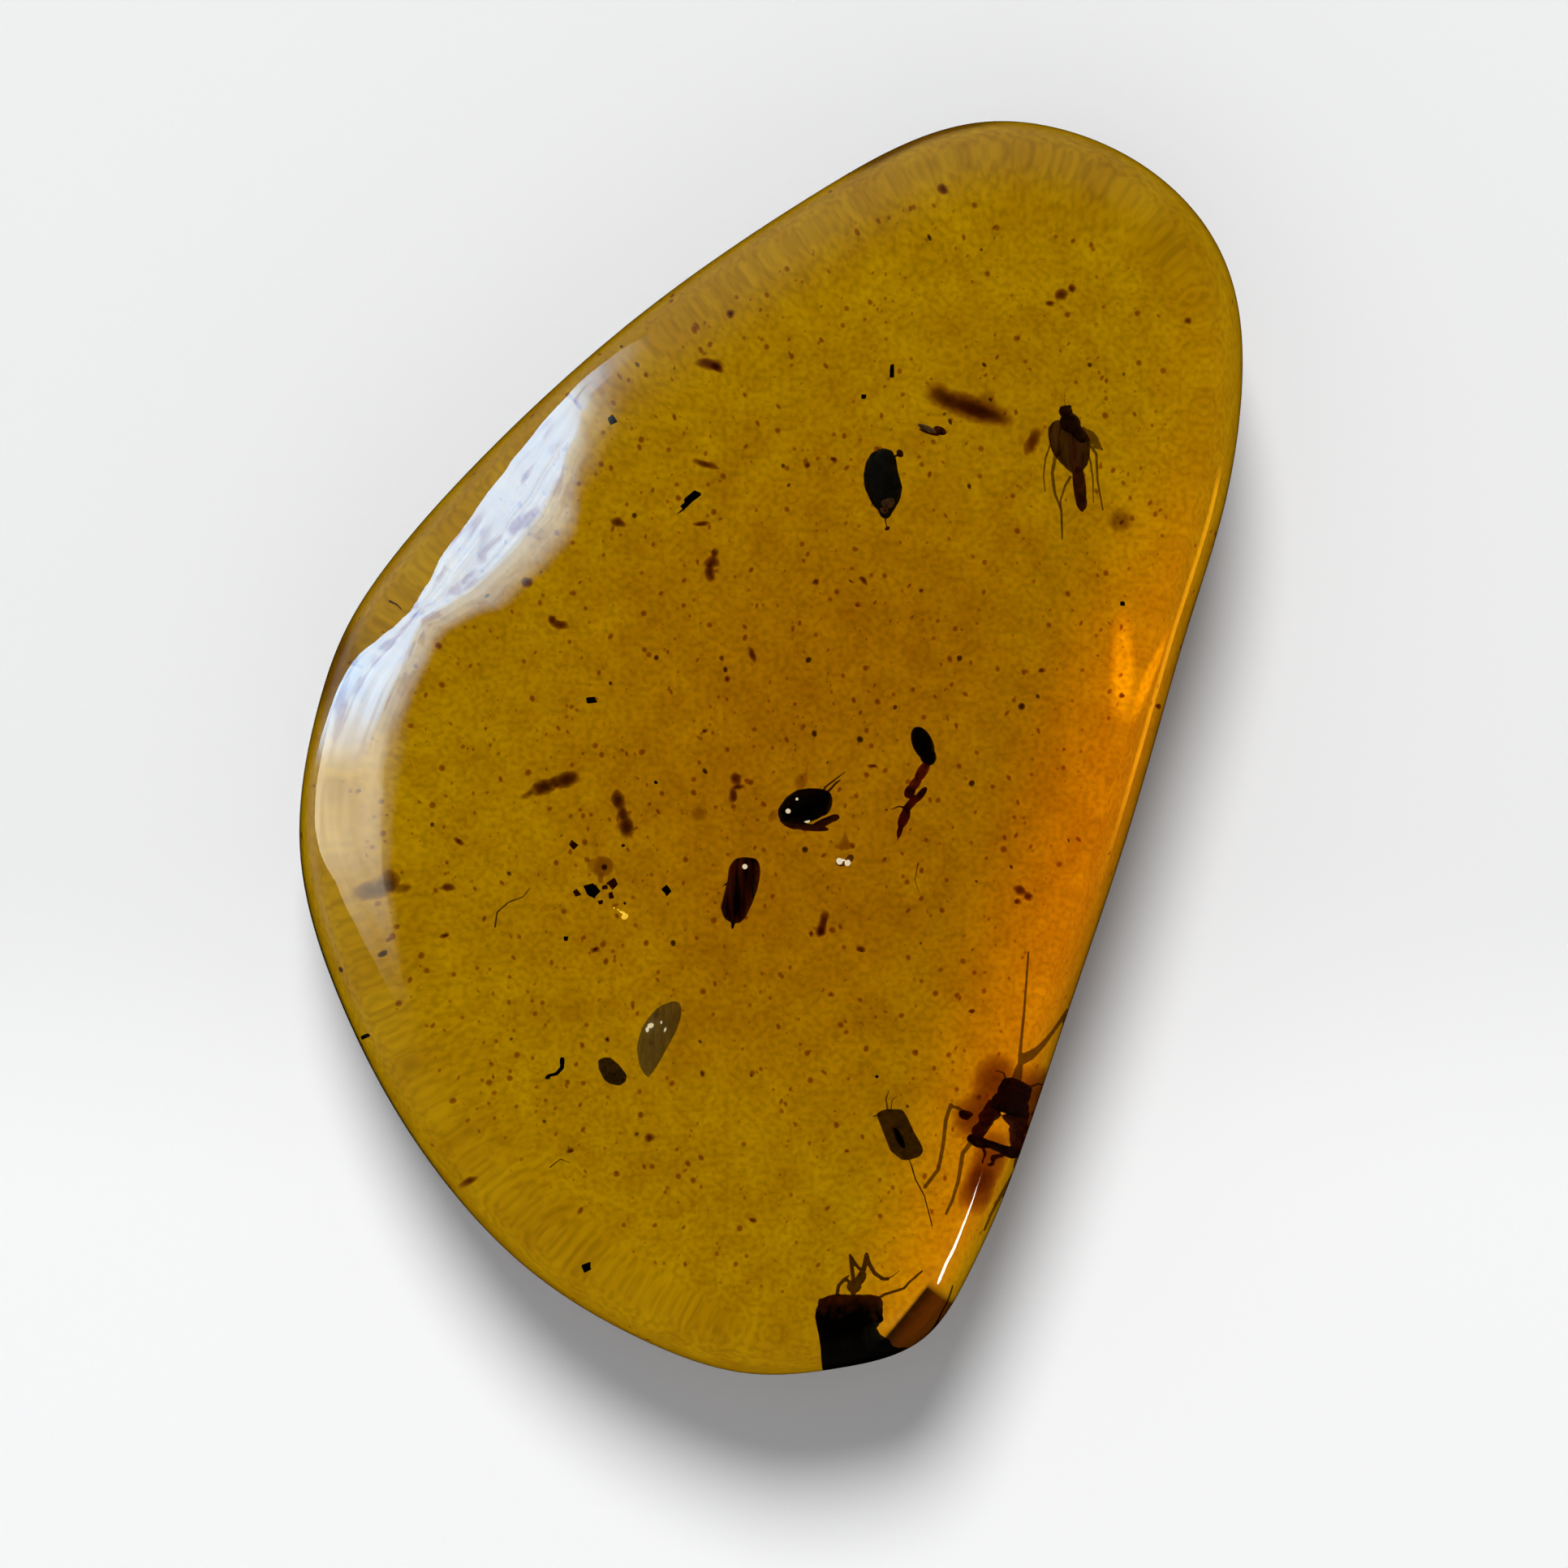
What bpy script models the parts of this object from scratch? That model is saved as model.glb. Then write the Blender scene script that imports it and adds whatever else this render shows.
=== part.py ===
"""A hand-polished piece of clear amber with insects and plant bits sealed inside it.

The stone lies on its flat back. Its girdle outline is a smooth closed curve, its crown is rounded
over and slightly domed. It is parted a little below mid height, and every inclusion sits in a pocket
that both halves share. Units are metres; the sizes below are millimetres times MM.
"""

import math

import bmesh
import bpy
import numpy as np
from mathutils import Matrix, Vector

MM = 0.001

# Stone: girdle outline through these points, anticlockwise from the rightmost, in mm.
GIRDLE_OUTLINE = [
    (11.6, 10.0), (10.65, 12.8), (8.5, 14.6), (5.8, 15.3), (3.45, 14.8), (0.9, 13.4),
    (-3.15, 10.6), (-7.2, 6.95), (-10.0, 3.65), (-11.2, 0.9), (-11.65, -2.7), (-10.6, -6.5),
    (-8.8, -9.85), (-6.3, -12.75), (-3.4, -14.6), (-0.8, -15.45), (1.6, -15.33), (3.75, -14.6),
    (5.0, -12.8), (6.0, -10.5), (7.35, -6.55), (8.9, -1.9), (10.2, 2.6), (11.25, 6.15),
]
GIRDLE_HEIGHT = 3.0
CROWN_RISE = 3.0
DOME_RISE = 0.5
# The crown rolls over most at the upper left and least at the lower right; the wall under it is
# nearly upright, and leans in towards the crown at the left.
ROLL_MEAN = 2.1
ROLL_SWING = 1.3
ROLL_WIDEST = math.radians(140)
ROLL_CRISPNESS = 5
WALL_LEAN = 0.4
WALL_LEAN_FACING = math.radians(200)
BACK_ROLL = 0.9
SHOULDER_LATITUDE = math.radians(40)
FACE_SEGMENTS = 14
FLAT = 1e-9

# Halves and pockets.
PARTING_GAP = 0.3
POCKET_CLEARANCE = 0.3
EDGE_CLEARANCE = 0.15
POCKET_SIDES = 8


def clear_scene():
    for obj in list(bpy.data.objects):
        bpy.data.objects.remove(obj)


def new_collection(name, helpers=False):
    collection = bpy.data.collections.new(name)
    bpy.context.scene.collection.children.link(collection)
    collection.hide_render = helpers
    return collection


def new_material(name, colour, roughness, transmission=0.0):
    material = bpy.data.materials.new(name)
    material.use_nodes = True
    shader = material.node_tree.nodes["Principled BSDF"]
    shader.inputs["Base Color"].default_value = (*colour, 1.0)
    shader.inputs["Roughness"].default_value = roughness
    shader.inputs["Metallic"].default_value = 0.0
    shader.inputs["Transmission Weight"].default_value = transmission
    return material


def object_from(bm, name, collection):
    mesh = bpy.data.meshes.new(name)
    bmesh.ops.recalc_face_normals(bm, faces=bm.faces)
    bm.to_mesh(mesh)
    bm.free()
    obj = bpy.data.objects.new(name, mesh)
    collection.objects.link(obj)
    return obj


def as_helper(obj):
    obj.hide_render = True
    obj.display_type = "WIRE"
    return obj


# ---------------------------------------------------------------- the stone


def girdle_curve(points, steps=24):
    """Places and outward normals along the smooth closed curve through the outline's points."""
    count = len(points)
    neighbours = np.roll(np.eye(count), 1, axis=0) + np.roll(np.eye(count), -1, axis=0)
    knots = np.linalg.solve((4 * np.eye(count) + neighbours) / 6, np.array(points))
    before, after, beyond = (np.roll(knots, shift, axis=0) for shift in (1, -1, -2))
    places, slopes = [], []
    for t in np.arange(steps) / steps:
        places.append((
            (1 - t) ** 3 * before
            + (3 * t**3 - 6 * t**2 + 4) * knots
            + (-3 * t**3 + 3 * t**2 + 3 * t + 1) * after
            + t**3 * beyond
        ) / 6)
        slopes.append((
            -(1 - t) ** 2 * before
            + (3 * t**2 - 4 * t) * knots
            + (-3 * t**2 + 2 * t + 1) * after
            + t**2 * beyond
        ) / 2)
    places = np.stack(places, axis=1).reshape(-1, 2)
    slopes = np.stack(slopes, axis=1).reshape(-1, 2)
    normals = np.stack([slopes[:, 1], -slopes[:, 0]], axis=1)
    return places, normals / np.linalg.norm(normals, axis=1, keepdims=True)


GIRDLE, GIRDLE_NORMAL = girdle_curve(GIRDLE_OUTLINE)
GIRDLE_START = math.atan2(GIRDLE_OUTLINE[0][1], GIRDLE_OUTLINE[0][0])
GIRDLE_TURN = GIRDLE_START + 2 * math.pi * np.arange(len(GIRDLE)) / len(GIRDLE)


def along_girdle(values, turn):
    """A girdle value at a turn round the stone, spread evenly over the outline's points."""
    return Vector([float(np.interp(turn, GIRDLE_TURN, column, period=2 * math.pi)) for column in values.T])


def stone_point(direction):
    """The point of the stone's surface for a direction on the unit sphere."""
    turn = math.atan2(direction.y, direction.x)
    latitude = math.asin(max(-1.0, min(1.0, direction.z)))
    edge = along_girdle(GIRDLE, turn)
    outward = along_girdle(GIRDLE_NORMAL, turn).normalized()
    facing = math.atan2(outward.y, outward.x)
    curl = min(abs(latitude) / SHOULDER_LATITUDE, 1.0) ** 1.5 * math.pi / 2
    rise = math.sin(curl) ** (2 / ROLL_CRISPNESS)
    if latitude >= 0:
        width = ROLL_MEAN + ROLL_SWING * math.cos(facing - ROLL_WIDEST)
        lean = WALL_LEAN * max(0.0, math.cos(facing - WALL_LEAN_FACING)) ** 2
    else:
        width = BACK_ROLL
        lean = 0.0
    place = edge - outward * (width * (1 - math.cos(curl)) + lean * rise)
    if abs(latitude) > SHOULDER_LATITUDE:
        place *= (math.pi / 2 - abs(latitude)) / (math.pi / 2 - SHOULDER_LATITUDE)
    if latitude >= 0:
        dome = DOME_RISE * (1 - min(1.0, place.length / edge.length) ** 2) ** 1.5
        height = GIRDLE_HEIGHT + CROWN_RISE * rise + dome
    else:
        height = GIRDLE_HEIGHT * (1 - rise)
    return Vector((place.x, place.y, height)) * MM


def stone_half(name, side, collection, pockets, material):
    """The stone above (side 1) or below (side -1) the parting gap, less the pockets."""
    bm = bmesh.new()
    bmesh.ops.create_cube(bm, size=2)
    bmesh.ops.subdivide_edges(bm, edges=bm.edges, cuts=FACE_SEGMENTS - 1, use_grid_fill=True)
    for vertex in bm.verts:
        vertex.co = stone_point(vertex.co.normalized())
    back = [face for face in bm.faces if all(vertex.co.z < FLAT for vertex in face.verts)]
    bmesh.ops.dissolve_faces(bm, faces=back)
    plane = Vector((0, 0, GIRDLE_HEIGHT + side * PARTING_GAP / 2)) * MM
    everything = bm.verts[:] + bm.edges[:] + bm.faces[:]
    cut = bmesh.ops.bisect_plane(
        bm, geom=everything, dist=1e-9, plane_co=plane, plane_no=(0, 0, side), clear_inner=True
    )
    rim = [item for item in cut["geom_cut"] if isinstance(item, bmesh.types.BMEdge)]
    bmesh.ops.edgeloop_fill(bm, edges=rim)
    half = object_from(bm, name, collection)
    half.data.shade_smooth()
    half.data.set_sharp_from_angle(angle=math.radians(40))
    half.data.materials.append(material)
    hollow = half.modifiers.new("pockets", "BOOLEAN")
    hollow.operation = "DIFFERENCE"
    hollow.operand_type = "COLLECTION"
    hollow.collection = pockets
    hollow.solver = "EXACT"
    return half


# ---------------------------------------------------------------- shapes of the inclusions


def blob(centre, radii, heading=0.0, pitch=0.0, detail=2):
    """An egg-like lump; heading turns its long axis anticlockwise in plan, in degrees."""
    bm = bmesh.new()
    bmesh.ops.create_icosphere(bm, subdivisions=detail, radius=1.0)
    shape = Matrix.Diagonal((*radii, 1.0))
    turn = Matrix.Rotation(math.radians(heading), 4, "Z") @ Matrix.Rotation(math.radians(pitch), 4, "X")
    bmesh.ops.transform(bm, verts=bm.verts, matrix=Matrix.Translation(centre) @ turn @ shape)
    return bm


def box(centre, size, heading=0.0, pitch=0.0, bevel=0.0):
    """A brick with bevelled edges, for angular fragments."""
    bm = bmesh.new()
    bmesh.ops.create_cube(bm, size=1.0)
    bmesh.ops.scale(bm, vec=size, verts=bm.verts)
    if bevel:
        bmesh.ops.bevel(bm, geom=bm.edges[:], offset=bevel, segments=1, profile=0.5, affect="EDGES")
    turn = Matrix.Rotation(math.radians(heading), 4, "Z") @ Matrix.Rotation(math.radians(pitch), 4, "X")
    bmesh.ops.transform(bm, verts=bm.verts, matrix=Matrix.Translation(centre) @ turn)
    return bm


def limb(points, thickness=0.07):
    """A leg or antenna: a tapered tube along its joints."""
    curve = bpy.data.curves.new("limb", "CURVE")
    curve.dimensions = "3D"
    curve.bevel_depth = thickness / 2
    curve.bevel_resolution = 0
    curve.use_fill_caps = True
    spline = curve.splines.new("POLY")
    spline.points.add(len(points) - 1)
    for index, point in enumerate(points):
        spline.points[index].co = (*point, 1.0)
        spline.points[index].radius = 1.0 - 0.5 * index / (len(points) - 1)
    guide = bpy.data.objects.new("limb", curve)
    bpy.context.scene.collection.objects.link(guide)
    graph = bpy.context.evaluated_depsgraph_get()
    mesh = bpy.data.meshes.new_from_object(guide.evaluated_get(graph))
    bm = bmesh.new()
    bm.from_mesh(mesh)
    bmesh.ops.remove_doubles(bm, verts=bm.verts, dist=1e-4)
    bpy.data.objects.remove(guide)
    bpy.data.meshes.remove(mesh)
    return bm


def pocket_around(name, points, clearance, pockets):
    """A straight-sided pocket: the tightest polygon in plan that clears the points on every side."""
    low = min(min(point.z for point in points) - clearance, GIRDLE_HEIGHT - PARTING_GAP)
    high = max(max(point.z for point in points) + clearance, GIRDLE_HEIGHT + PARTING_GAP)
    step = 2 * math.pi / POCKET_SIDES
    outwards = [Vector((math.cos(side * step), math.sin(side * step), 0)) for side in range(POCKET_SIDES)]
    reaches = [max(point.dot(outward) for point in points) + clearance for outward in outwards]
    bm = bmesh.new()
    for side, outward in enumerate(outwards):
        onward, reach = outwards[side - 1], reaches[side - 1]
        corner_x = (reach * outward.y - reaches[side] * onward.y) / math.sin(step)
        corner_y = (reaches[side] * onward.x - reach * outward.x) / math.sin(step)
        for height in (low, high):
            bm.verts.new(Vector((corner_x, corner_y, height)) * MM)
    bmesh.ops.convex_hull(bm, input=bm.verts)
    return as_helper(object_from(bm, name + "_pocket", pockets))


def inclusion(name, place, pieces, material, clearance=POCKET_CLEARANCE):
    """Fuses the pieces into one solid at its place, in mm, and hollows a pocket for it."""
    helpers = new_collection(name + "_pieces", helpers=True)
    corners, solids = [], []
    for number, bm in enumerate(pieces):
        corners += [vertex.co + Vector(place) for vertex in bm.verts]
        bmesh.ops.scale(bm, vec=(MM, MM, MM), verts=bm.verts)
        owner = helpers if number else INCLUSIONS
        piece = object_from(bm, f"{name}_piece_{number}" if number else name, owner)
        piece.location = Vector(place) * MM
        solids.append(piece)
    for piece in solids[1:]:
        as_helper(piece)
    solids[0].data.materials.append(material)
    if len(solids) > 1:
        fused = solids[0].modifiers.new("fused pieces", "BOOLEAN")
        fused.operation = "UNION"
        fused.operand_type = "COLLECTION"
        fused.collection = helpers
        fused.solver = "EXACT"
        fused.use_self = True
    pocket_around(name, corners, clearance, POCKETS)
    return solids[0]


clear_scene()
STONE = new_collection("amber_with_insects")
INCLUSIONS = new_collection("inclusions")
POCKETS = new_collection("pocket_cutters", helpers=True)

AMBER = new_material("golden amber", (0.55, 0.24, 0.01), 0.05, transmission=1.0)
BLACK_CHITIN = new_material("black chitin", (0.01, 0.008, 0.006), 0.3)
BROWN_CHITIN = new_material("brown chitin", (0.06, 0.02, 0.006), 0.4)
GREY_CHITIN = new_material("charcoal chitin", (0.03, 0.03, 0.028), 0.7)
BARK = new_material("bark", (0.08, 0.03, 0.01), 0.8)
HUSK = new_material("seed husk", (0.16, 0.12, 0.06), 0.6)
SOIL = new_material("soil", (0.01, 0.008, 0.006), 0.9)

# Winged fly: head up, wings folded along the body, narrow abdomen, thin trailing legs.
inclusion("winged_fly", (7.32, 7.17, 5.0), [
    blob((0.02, 0.52, 0.0), (0.26, 0.26, 0.20)),
    blob((-0.06, 0.80, 0.0), (0.17, 0.14, 0.13)),
    blob((0.06, 0.00, -0.01), (0.17, 0.52, 0.14), heading=6),
    blob((0.16, -0.90, -0.02), (0.14, 0.64, 0.12), heading=9),
    blob((-0.17, 0.04, 0.06), (0.20, 0.56, 0.06), heading=-10),
    blob((0.18, 0.06, 0.05), (0.18, 0.54, 0.06), heading=14),
    blob((0.50, 0.04, 0.02), (0.24, 0.13, 0.06), heading=-30),
    limb([(-0.05, 0.45, -0.05), (-0.44, -0.30, 0.0), (-0.40, -1.07, 0.0), (-0.20, -2.24, -0.1)]),
    limb([(-0.05, 0.50, -0.08), (-0.62, -0.30, -0.1), (-0.69, -1.15, -0.1)]),
    limb([(0.04, -0.10, -0.06), (-0.12, -0.97, -0.1), (-0.28, -1.35, -0.15)]),
    limb([(0.10, 0.45, -0.05), (0.66, -0.20, 0.0), (0.73, -1.01, -0.05), (0.79, -1.57, -0.1)]),
    limb([(0.10, 0.10, -0.04), (0.52, -0.60, 0.0), (0.52, -1.35, -0.1)]),
], BROWN_CHITIN)

# Oval beetle: a smooth wing case that narrows to the tail.
inclusion("oval_beetle", (2.78, 6.34, 5.4), [
    blob((0.0, 0.08, 0.0), (0.45, 0.76, 0.34), heading=4, detail=3),
    blob((0.06, -0.52, 0.0), (0.26, 0.36, 0.22), heading=8),
    blob((0.12, 0.55, 0.0), (0.26, 0.26, 0.22)),
    blob((0.43, 0.62, 0.0), (0.09, 0.11, 0.07), detail=1),
], GREY_CHITIN)

# Round beetle: domed back, a plate pushed out at the side, two legs.
inclusion("round_beetle", (0.89, -1.55, 5.3), [
    blob((0.0, 0.0, 0.0), (0.66, 0.47, 0.36), heading=4, detail=3),
    blob((0.46, 0.06, -0.02), (0.26, 0.33, 0.26)),
    blob((0.42, -0.30, -0.12), (0.36, 0.13, 0.08), heading=20),
    blob((-0.15, -0.38, -0.14), (0.42, 0.14, 0.08), heading=-14),
    limb([(0.35, 0.25, -0.05), (0.56, 0.47, -0.02), (0.76, 0.66, 0.0), (0.99, 0.89, 0.0)]),
    limb([(-0.20, 0.25, -0.05), (-0.12, 0.62, -0.1), (-0.02, 0.93, -0.15)]),
], BLACK_CHITIN)

# Long beetle: parallel-sided wing cases, a shorter pronotum and a small tail.
inclusion("long_beetle", (-0.70, -3.57, 5.3), [
    blob((-0.08, -0.18, 0.0), (0.38, 0.62, 0.32), heading=-14, detail=3),
    blob((0.13, 0.50, 0.0), (0.36, 0.36, 0.30), heading=-14),
    blob((0.02, 0.16, 0.0), (0.37, 0.40, 0.31), heading=-14),
    blob((-0.18, -0.76, -0.03), (0.13, 0.14, 0.10), detail=1),
], BLACK_CHITIN)

# Slender rove beetle: an oval fore body, a thin waist and a two-lobed tail.
inclusion("slender_rove_beetle", (3.58, -0.96, 5.0), [
    blob((0.12, 0.95, 0.0), (0.28, 0.48, 0.25), heading=28),
    blob((0.10, 0.28, 0.0), (0.13, 0.34, 0.11), heading=-32),
    blob((-0.15, -0.16, 0.0), (0.14, 0.24, 0.12), heading=-20),
    blob((-0.16, -0.44, 0.0), (0.11, 0.20, 0.10), heading=-30),
    blob((0.02, -0.42, 0.02), (0.08, 0.42, 0.09), heading=-34),
    blob((-0.28, -0.88, 0.0), (0.14, 0.34, 0.11), heading=-24),
    limb([(-0.25, -0.70, 0.0), (-0.45, -0.62, 0.0), (-0.64, -0.66, 0.0)]),
    limb([(-0.36, -1.10, 0.0), (-0.46, -1.28, 0.0), (-0.50, -1.42, 0.0)]),
], BROWN_CHITIN)

# Bark louse: a flat oval body with antennae and a short leg.
inclusion("bark_louse", (3.18, -9.56, 3.6), [
    blob((0.04, -0.08, 0.0), (0.42, 0.62, 0.22), heading=26),
    blob((-0.22, 0.48, 0.0), (0.30, 0.24, 0.17), heading=26),
    limb([(-0.28, 0.55, 0.0), (-0.38, 0.86, 0.03), (-0.36, 1.05, 0.05)]),
    limb([(-0.30, 0.40, 0.0), (-0.52, 0.42, 0.0), (-0.72, 0.46, 0.0)]),
    limb([(0.15, -0.50, 0.0), (0.36, -0.80, 0.0), (0.46, -1.10, 0.0)]),
], BROWN_CHITIN)

# Spider with very long legs, close to the right edge.
inclusion("leggy_spider", (5.40, -9.10, 3.6), [
    blob((0.36, 0.48, 0.0), (0.26, 0.36, 0.26), heading=-30),
    blob((0.10, 0.14, 0.0), (0.24, 0.32, 0.22), heading=-50),
    blob((-0.08, -0.20, 0.0), (0.26, 0.32, 0.26)),
    blob((-0.26, -0.64, -0.04), (0.36, 0.18, 0.16), heading=10),
    blob((-0.38, -1.18, -0.06), (0.12, 0.60, 0.10), heading=-14),
    blob((-0.52, -1.72, -0.08), (0.20, 0.38, 0.12), heading=-20),
    limb([(0.38, 0.50, 0.1), (0.65, 1.16, 0.2), (0.85, 2.60, 0.2), (0.92, 4.08, 0.1)], 0.10),
    limb([(-0.08, 0.00, 0.0), (-1.03, 0.21, 0.1), (-1.23, -0.75, 0.0), (-1.66, -1.84, -0.1)], 0.09),
    limb([(-0.20, -0.30, 0.0), (-0.67, -0.47, 0.0), (-0.88, -1.93, 0.0), (-1.09, -2.39, 0.0)], 0.09),
], BROWN_CHITIN, EDGE_CLEARANCE)

# Edge beetle: a stout black body at the lower edge, legs raised towards the middle.
inclusion("edge_beetle", (1.98, -14.05, 3.4), [
    blob((0.0, 0.0, 0.0), (0.87, 0.54, 0.50), heading=4, detail=3),
    blob((-0.06, 0.30, -0.02), (0.60, 0.34, 0.34)),
    limb([(-0.10, 0.30, 0.1), (0.15, 0.85, 0.2), (0.03, 1.48, 0.2)], 0.14),
    limb([(0.05, 0.35, 0.1), (0.25, 1.00, 0.2), (0.43, 1.50, 0.2)], 0.14),
    limb([(0.20, 0.35, 0.1), (0.45, 0.85, 0.1), (0.88, 0.79, 0.1)], 0.14),
    limb([(0.50, 0.20, 0.0), (1.42, 0.60, 0.1), (1.96, 1.07, 0.1)], 0.14),
], BLACK_CHITIN, EDGE_CLEARANCE)

# Plant and soil bits.
inclusion("bark_splinter", (5.06, 8.18, 2.6), [
    blob((0.0, 0.0, 0.0), (0.28, 1.20, 0.16), heading=70, pitch=6),
    box((-0.55, 0.22, 0.0), (1.00, 0.42, 0.26), heading=-20, bevel=0.06),
    box((0.45, 0.02, 0.02), (0.80, 0.48, 0.24), heading=-14, bevel=0.06),
], BARK)
inclusion("grey_sliver", (3.96, 7.57, 5.6), [
    blob((-0.10, 0.04, 0.0), (0.11, 0.34, 0.06), heading=66),
    blob((0.20, -0.10, 0.0), (0.10, 0.24, 0.07), heading=74),
], HUSK)
inclusion("bark_chip", (6.41, 7.38, 3.6), [
    box((0.0, 0.0, 0.0), (0.34, 0.60, 0.22), heading=-32, bevel=0.08),
], BARK)
inclusion("seed_husk", (-2.61, -7.19, 5.2), [
    blob((0.0, 0.0, 0.0), (0.37, 0.92, 0.14), heading=-22, detail=3),
    blob((-0.24, -0.72, 0.0), (0.12, 0.34, 0.07), heading=6),
], HUSK)
inclusion("small_seed", (-3.77, -7.99, 5.0), [
    blob((0.0, 0.0, 0.0), (0.26, 0.42, 0.17), heading=58),
    blob((0.20, -0.12, 0.0), (0.20, 0.20, 0.15)),
], HUSK)
inclusion("twig_forked", (-5.17, -0.97, 3.0), [
    blob((-0.28, -0.12, 0.0), (0.18, 0.36, 0.14), heading=-72),
    blob((0.26, 0.06, 0.0), (0.17, 0.42, 0.14), heading=-70),
    blob((-0.60, -0.26, 0.0), (0.08, 0.32, 0.07), heading=-58),
], BARK)
inclusion("twig_short", (-3.53, -1.73, 3.0), [
    blob((-0.10, 0.30, 0.0), (0.15, 0.30, 0.12), heading=14),
    blob((0.06, -0.22, 0.0), (0.17, 0.36, 0.13), heading=14),
], BARK)
inclusion("soil_crumbs", (-4.09, -3.53, 5.3), [
    box((-0.16, -0.04, 0.0), (0.46, 0.40, 0.30), heading=20, bevel=0.08),
    box((0.10, 0.08, 0.0), (0.36, 0.16, 0.14), heading=24, bevel=0.04),
    box((0.32, 0.14, 0.0), (0.26, 0.26, 0.22), heading=40, bevel=0.06),
    box((0.20, -0.10, 0.0), (0.28, 0.28, 0.18), heading=-10, bevel=0.05),
    box((-0.46, -0.02, 0.0), (0.34, 0.20, 0.16), heading=8, bevel=0.04),
], SOIL)
inclusion("brown_grain", (-1.69, -1.69, 3.6), [
    blob((0.0, 0.0, 0.0), (0.22, 0.21, 0.17)),
], BARK)

stone_half("amber_top", 1, STONE, POCKETS, AMBER)
stone_half("amber_base", -1, STONE, POCKETS, AMBER)
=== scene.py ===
"""Polished amber with insects sealed inside it, on a pale table under soft studio light."""

import math
import random

import bmesh
import bpy
import numpy as np
from mathutils import Matrix, Vector, noise


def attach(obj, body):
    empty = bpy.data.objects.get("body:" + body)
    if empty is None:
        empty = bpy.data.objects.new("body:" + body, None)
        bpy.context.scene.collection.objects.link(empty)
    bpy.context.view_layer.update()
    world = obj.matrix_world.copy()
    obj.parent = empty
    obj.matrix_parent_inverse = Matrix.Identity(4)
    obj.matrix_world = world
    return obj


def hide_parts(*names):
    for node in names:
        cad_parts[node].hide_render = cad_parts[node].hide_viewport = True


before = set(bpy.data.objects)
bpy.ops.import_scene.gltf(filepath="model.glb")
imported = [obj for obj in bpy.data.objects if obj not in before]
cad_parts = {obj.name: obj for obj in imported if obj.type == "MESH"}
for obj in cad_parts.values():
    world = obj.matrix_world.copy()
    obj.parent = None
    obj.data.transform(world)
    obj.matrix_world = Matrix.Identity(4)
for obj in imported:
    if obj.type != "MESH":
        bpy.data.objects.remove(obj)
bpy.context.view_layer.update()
MM = 0.001
noise.seed_set(5)


# ---------------------------------------------------------------- clear amber
# The stone is one piece of fossil resin, ground flat at the back and polished by hand to a rounded
# edge and a slightly domed crown. It stands for both CAD halves, because the real resin has no joint.
GIRDLE_OUTLINE = [
    (11.6, 10.0), (10.65, 12.8), (8.5, 14.6), (5.8, 15.3), (3.45, 14.8), (0.9, 13.4),
    (-3.15, 10.6), (-7.2, 6.95), (-10.0, 3.65), (-11.2, 0.9), (-11.65, -2.7), (-10.6, -6.5),
    (-8.8, -9.85), (-6.3, -12.75), (-3.4, -14.6), (-0.8, -15.45), (1.6, -15.33), (3.75, -14.6),
    (5.0, -12.8), (6.0, -10.5), (7.35, -6.55), (8.9, -1.9), (10.2, 2.6), (11.25, 6.15),
]
GIRDLE_HEIGHT = 3.0
CROWN_RISE = 3.0
DOME_RISE = 0.5
# The crown rolls over most at the upper left and least at the lower right; the wall under it is
# nearly upright, and leans in towards the crown at the left.
ROLL_MEAN = 2.1
ROLL_SWING = 1.3
ROLL_WIDEST = math.radians(140)
ROLL_CRISPNESS = 5
WALL_LEAN = 0.4
WALL_LEAN_FACING = math.radians(200)
BACK_ROLL = 0.9
SHOULDER_LATITUDE = math.radians(40)
FACE_SEGMENTS = 80


def linear(hex_colour, alpha=1.0):
    """An sRGB hex value as the linear colour that a node takes."""
    channels = [int(hex_colour[i:i + 2], 16) / 255 for i in (0, 2, 4)]
    return (*[c / 12.92 if c <= 0.04045 else ((c + 0.055) / 1.055) ** 2.4 for c in channels], alpha)


def add(tree, kind, settings=(), links=(), **attributes):
    """Adds one node: attributes on the node, settings on its sockets, links into its sockets."""
    node = tree.nodes.new(kind)
    for name, value in attributes.items():
        setattr(node, name, value)
    for socket, value in dict(settings).items():
        node.inputs[socket].default_value = value
    for socket, source in dict(links).items():
        tree.links.new(source, node.inputs[socket])
    return node


def empty_material(name):
    material = bpy.data.materials.new(name)
    material.use_nodes = True
    material.node_tree.nodes.clear()
    return material, material.node_tree


def girdle_curve(points, steps=24):
    """Places and outward normals along the smooth closed curve through the outline's points."""
    count = len(points)
    neighbours = np.roll(np.eye(count), 1, axis=0) + np.roll(np.eye(count), -1, axis=0)
    knots = np.linalg.solve((4 * np.eye(count) + neighbours) / 6, np.array(points))
    before, after, beyond = (np.roll(knots, shift, axis=0) for shift in (1, -1, -2))
    places, slopes = [], []
    for t in np.arange(steps) / steps:
        places.append((
            (1 - t) ** 3 * before
            + (3 * t**3 - 6 * t**2 + 4) * knots
            + (-3 * t**3 + 3 * t**2 + 3 * t + 1) * after
            + t**3 * beyond
        ) / 6)
        slopes.append((
            -(1 - t) ** 2 * before
            + (3 * t**2 - 4 * t) * knots
            + (-3 * t**2 + 2 * t + 1) * after
            + t**2 * beyond
        ) / 2)
    places = np.stack(places, axis=1).reshape(-1, 2)
    slopes = np.stack(slopes, axis=1).reshape(-1, 2)
    normals = np.stack([slopes[:, 1], -slopes[:, 0]], axis=1)
    return places, normals / np.linalg.norm(normals, axis=1, keepdims=True)


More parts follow.
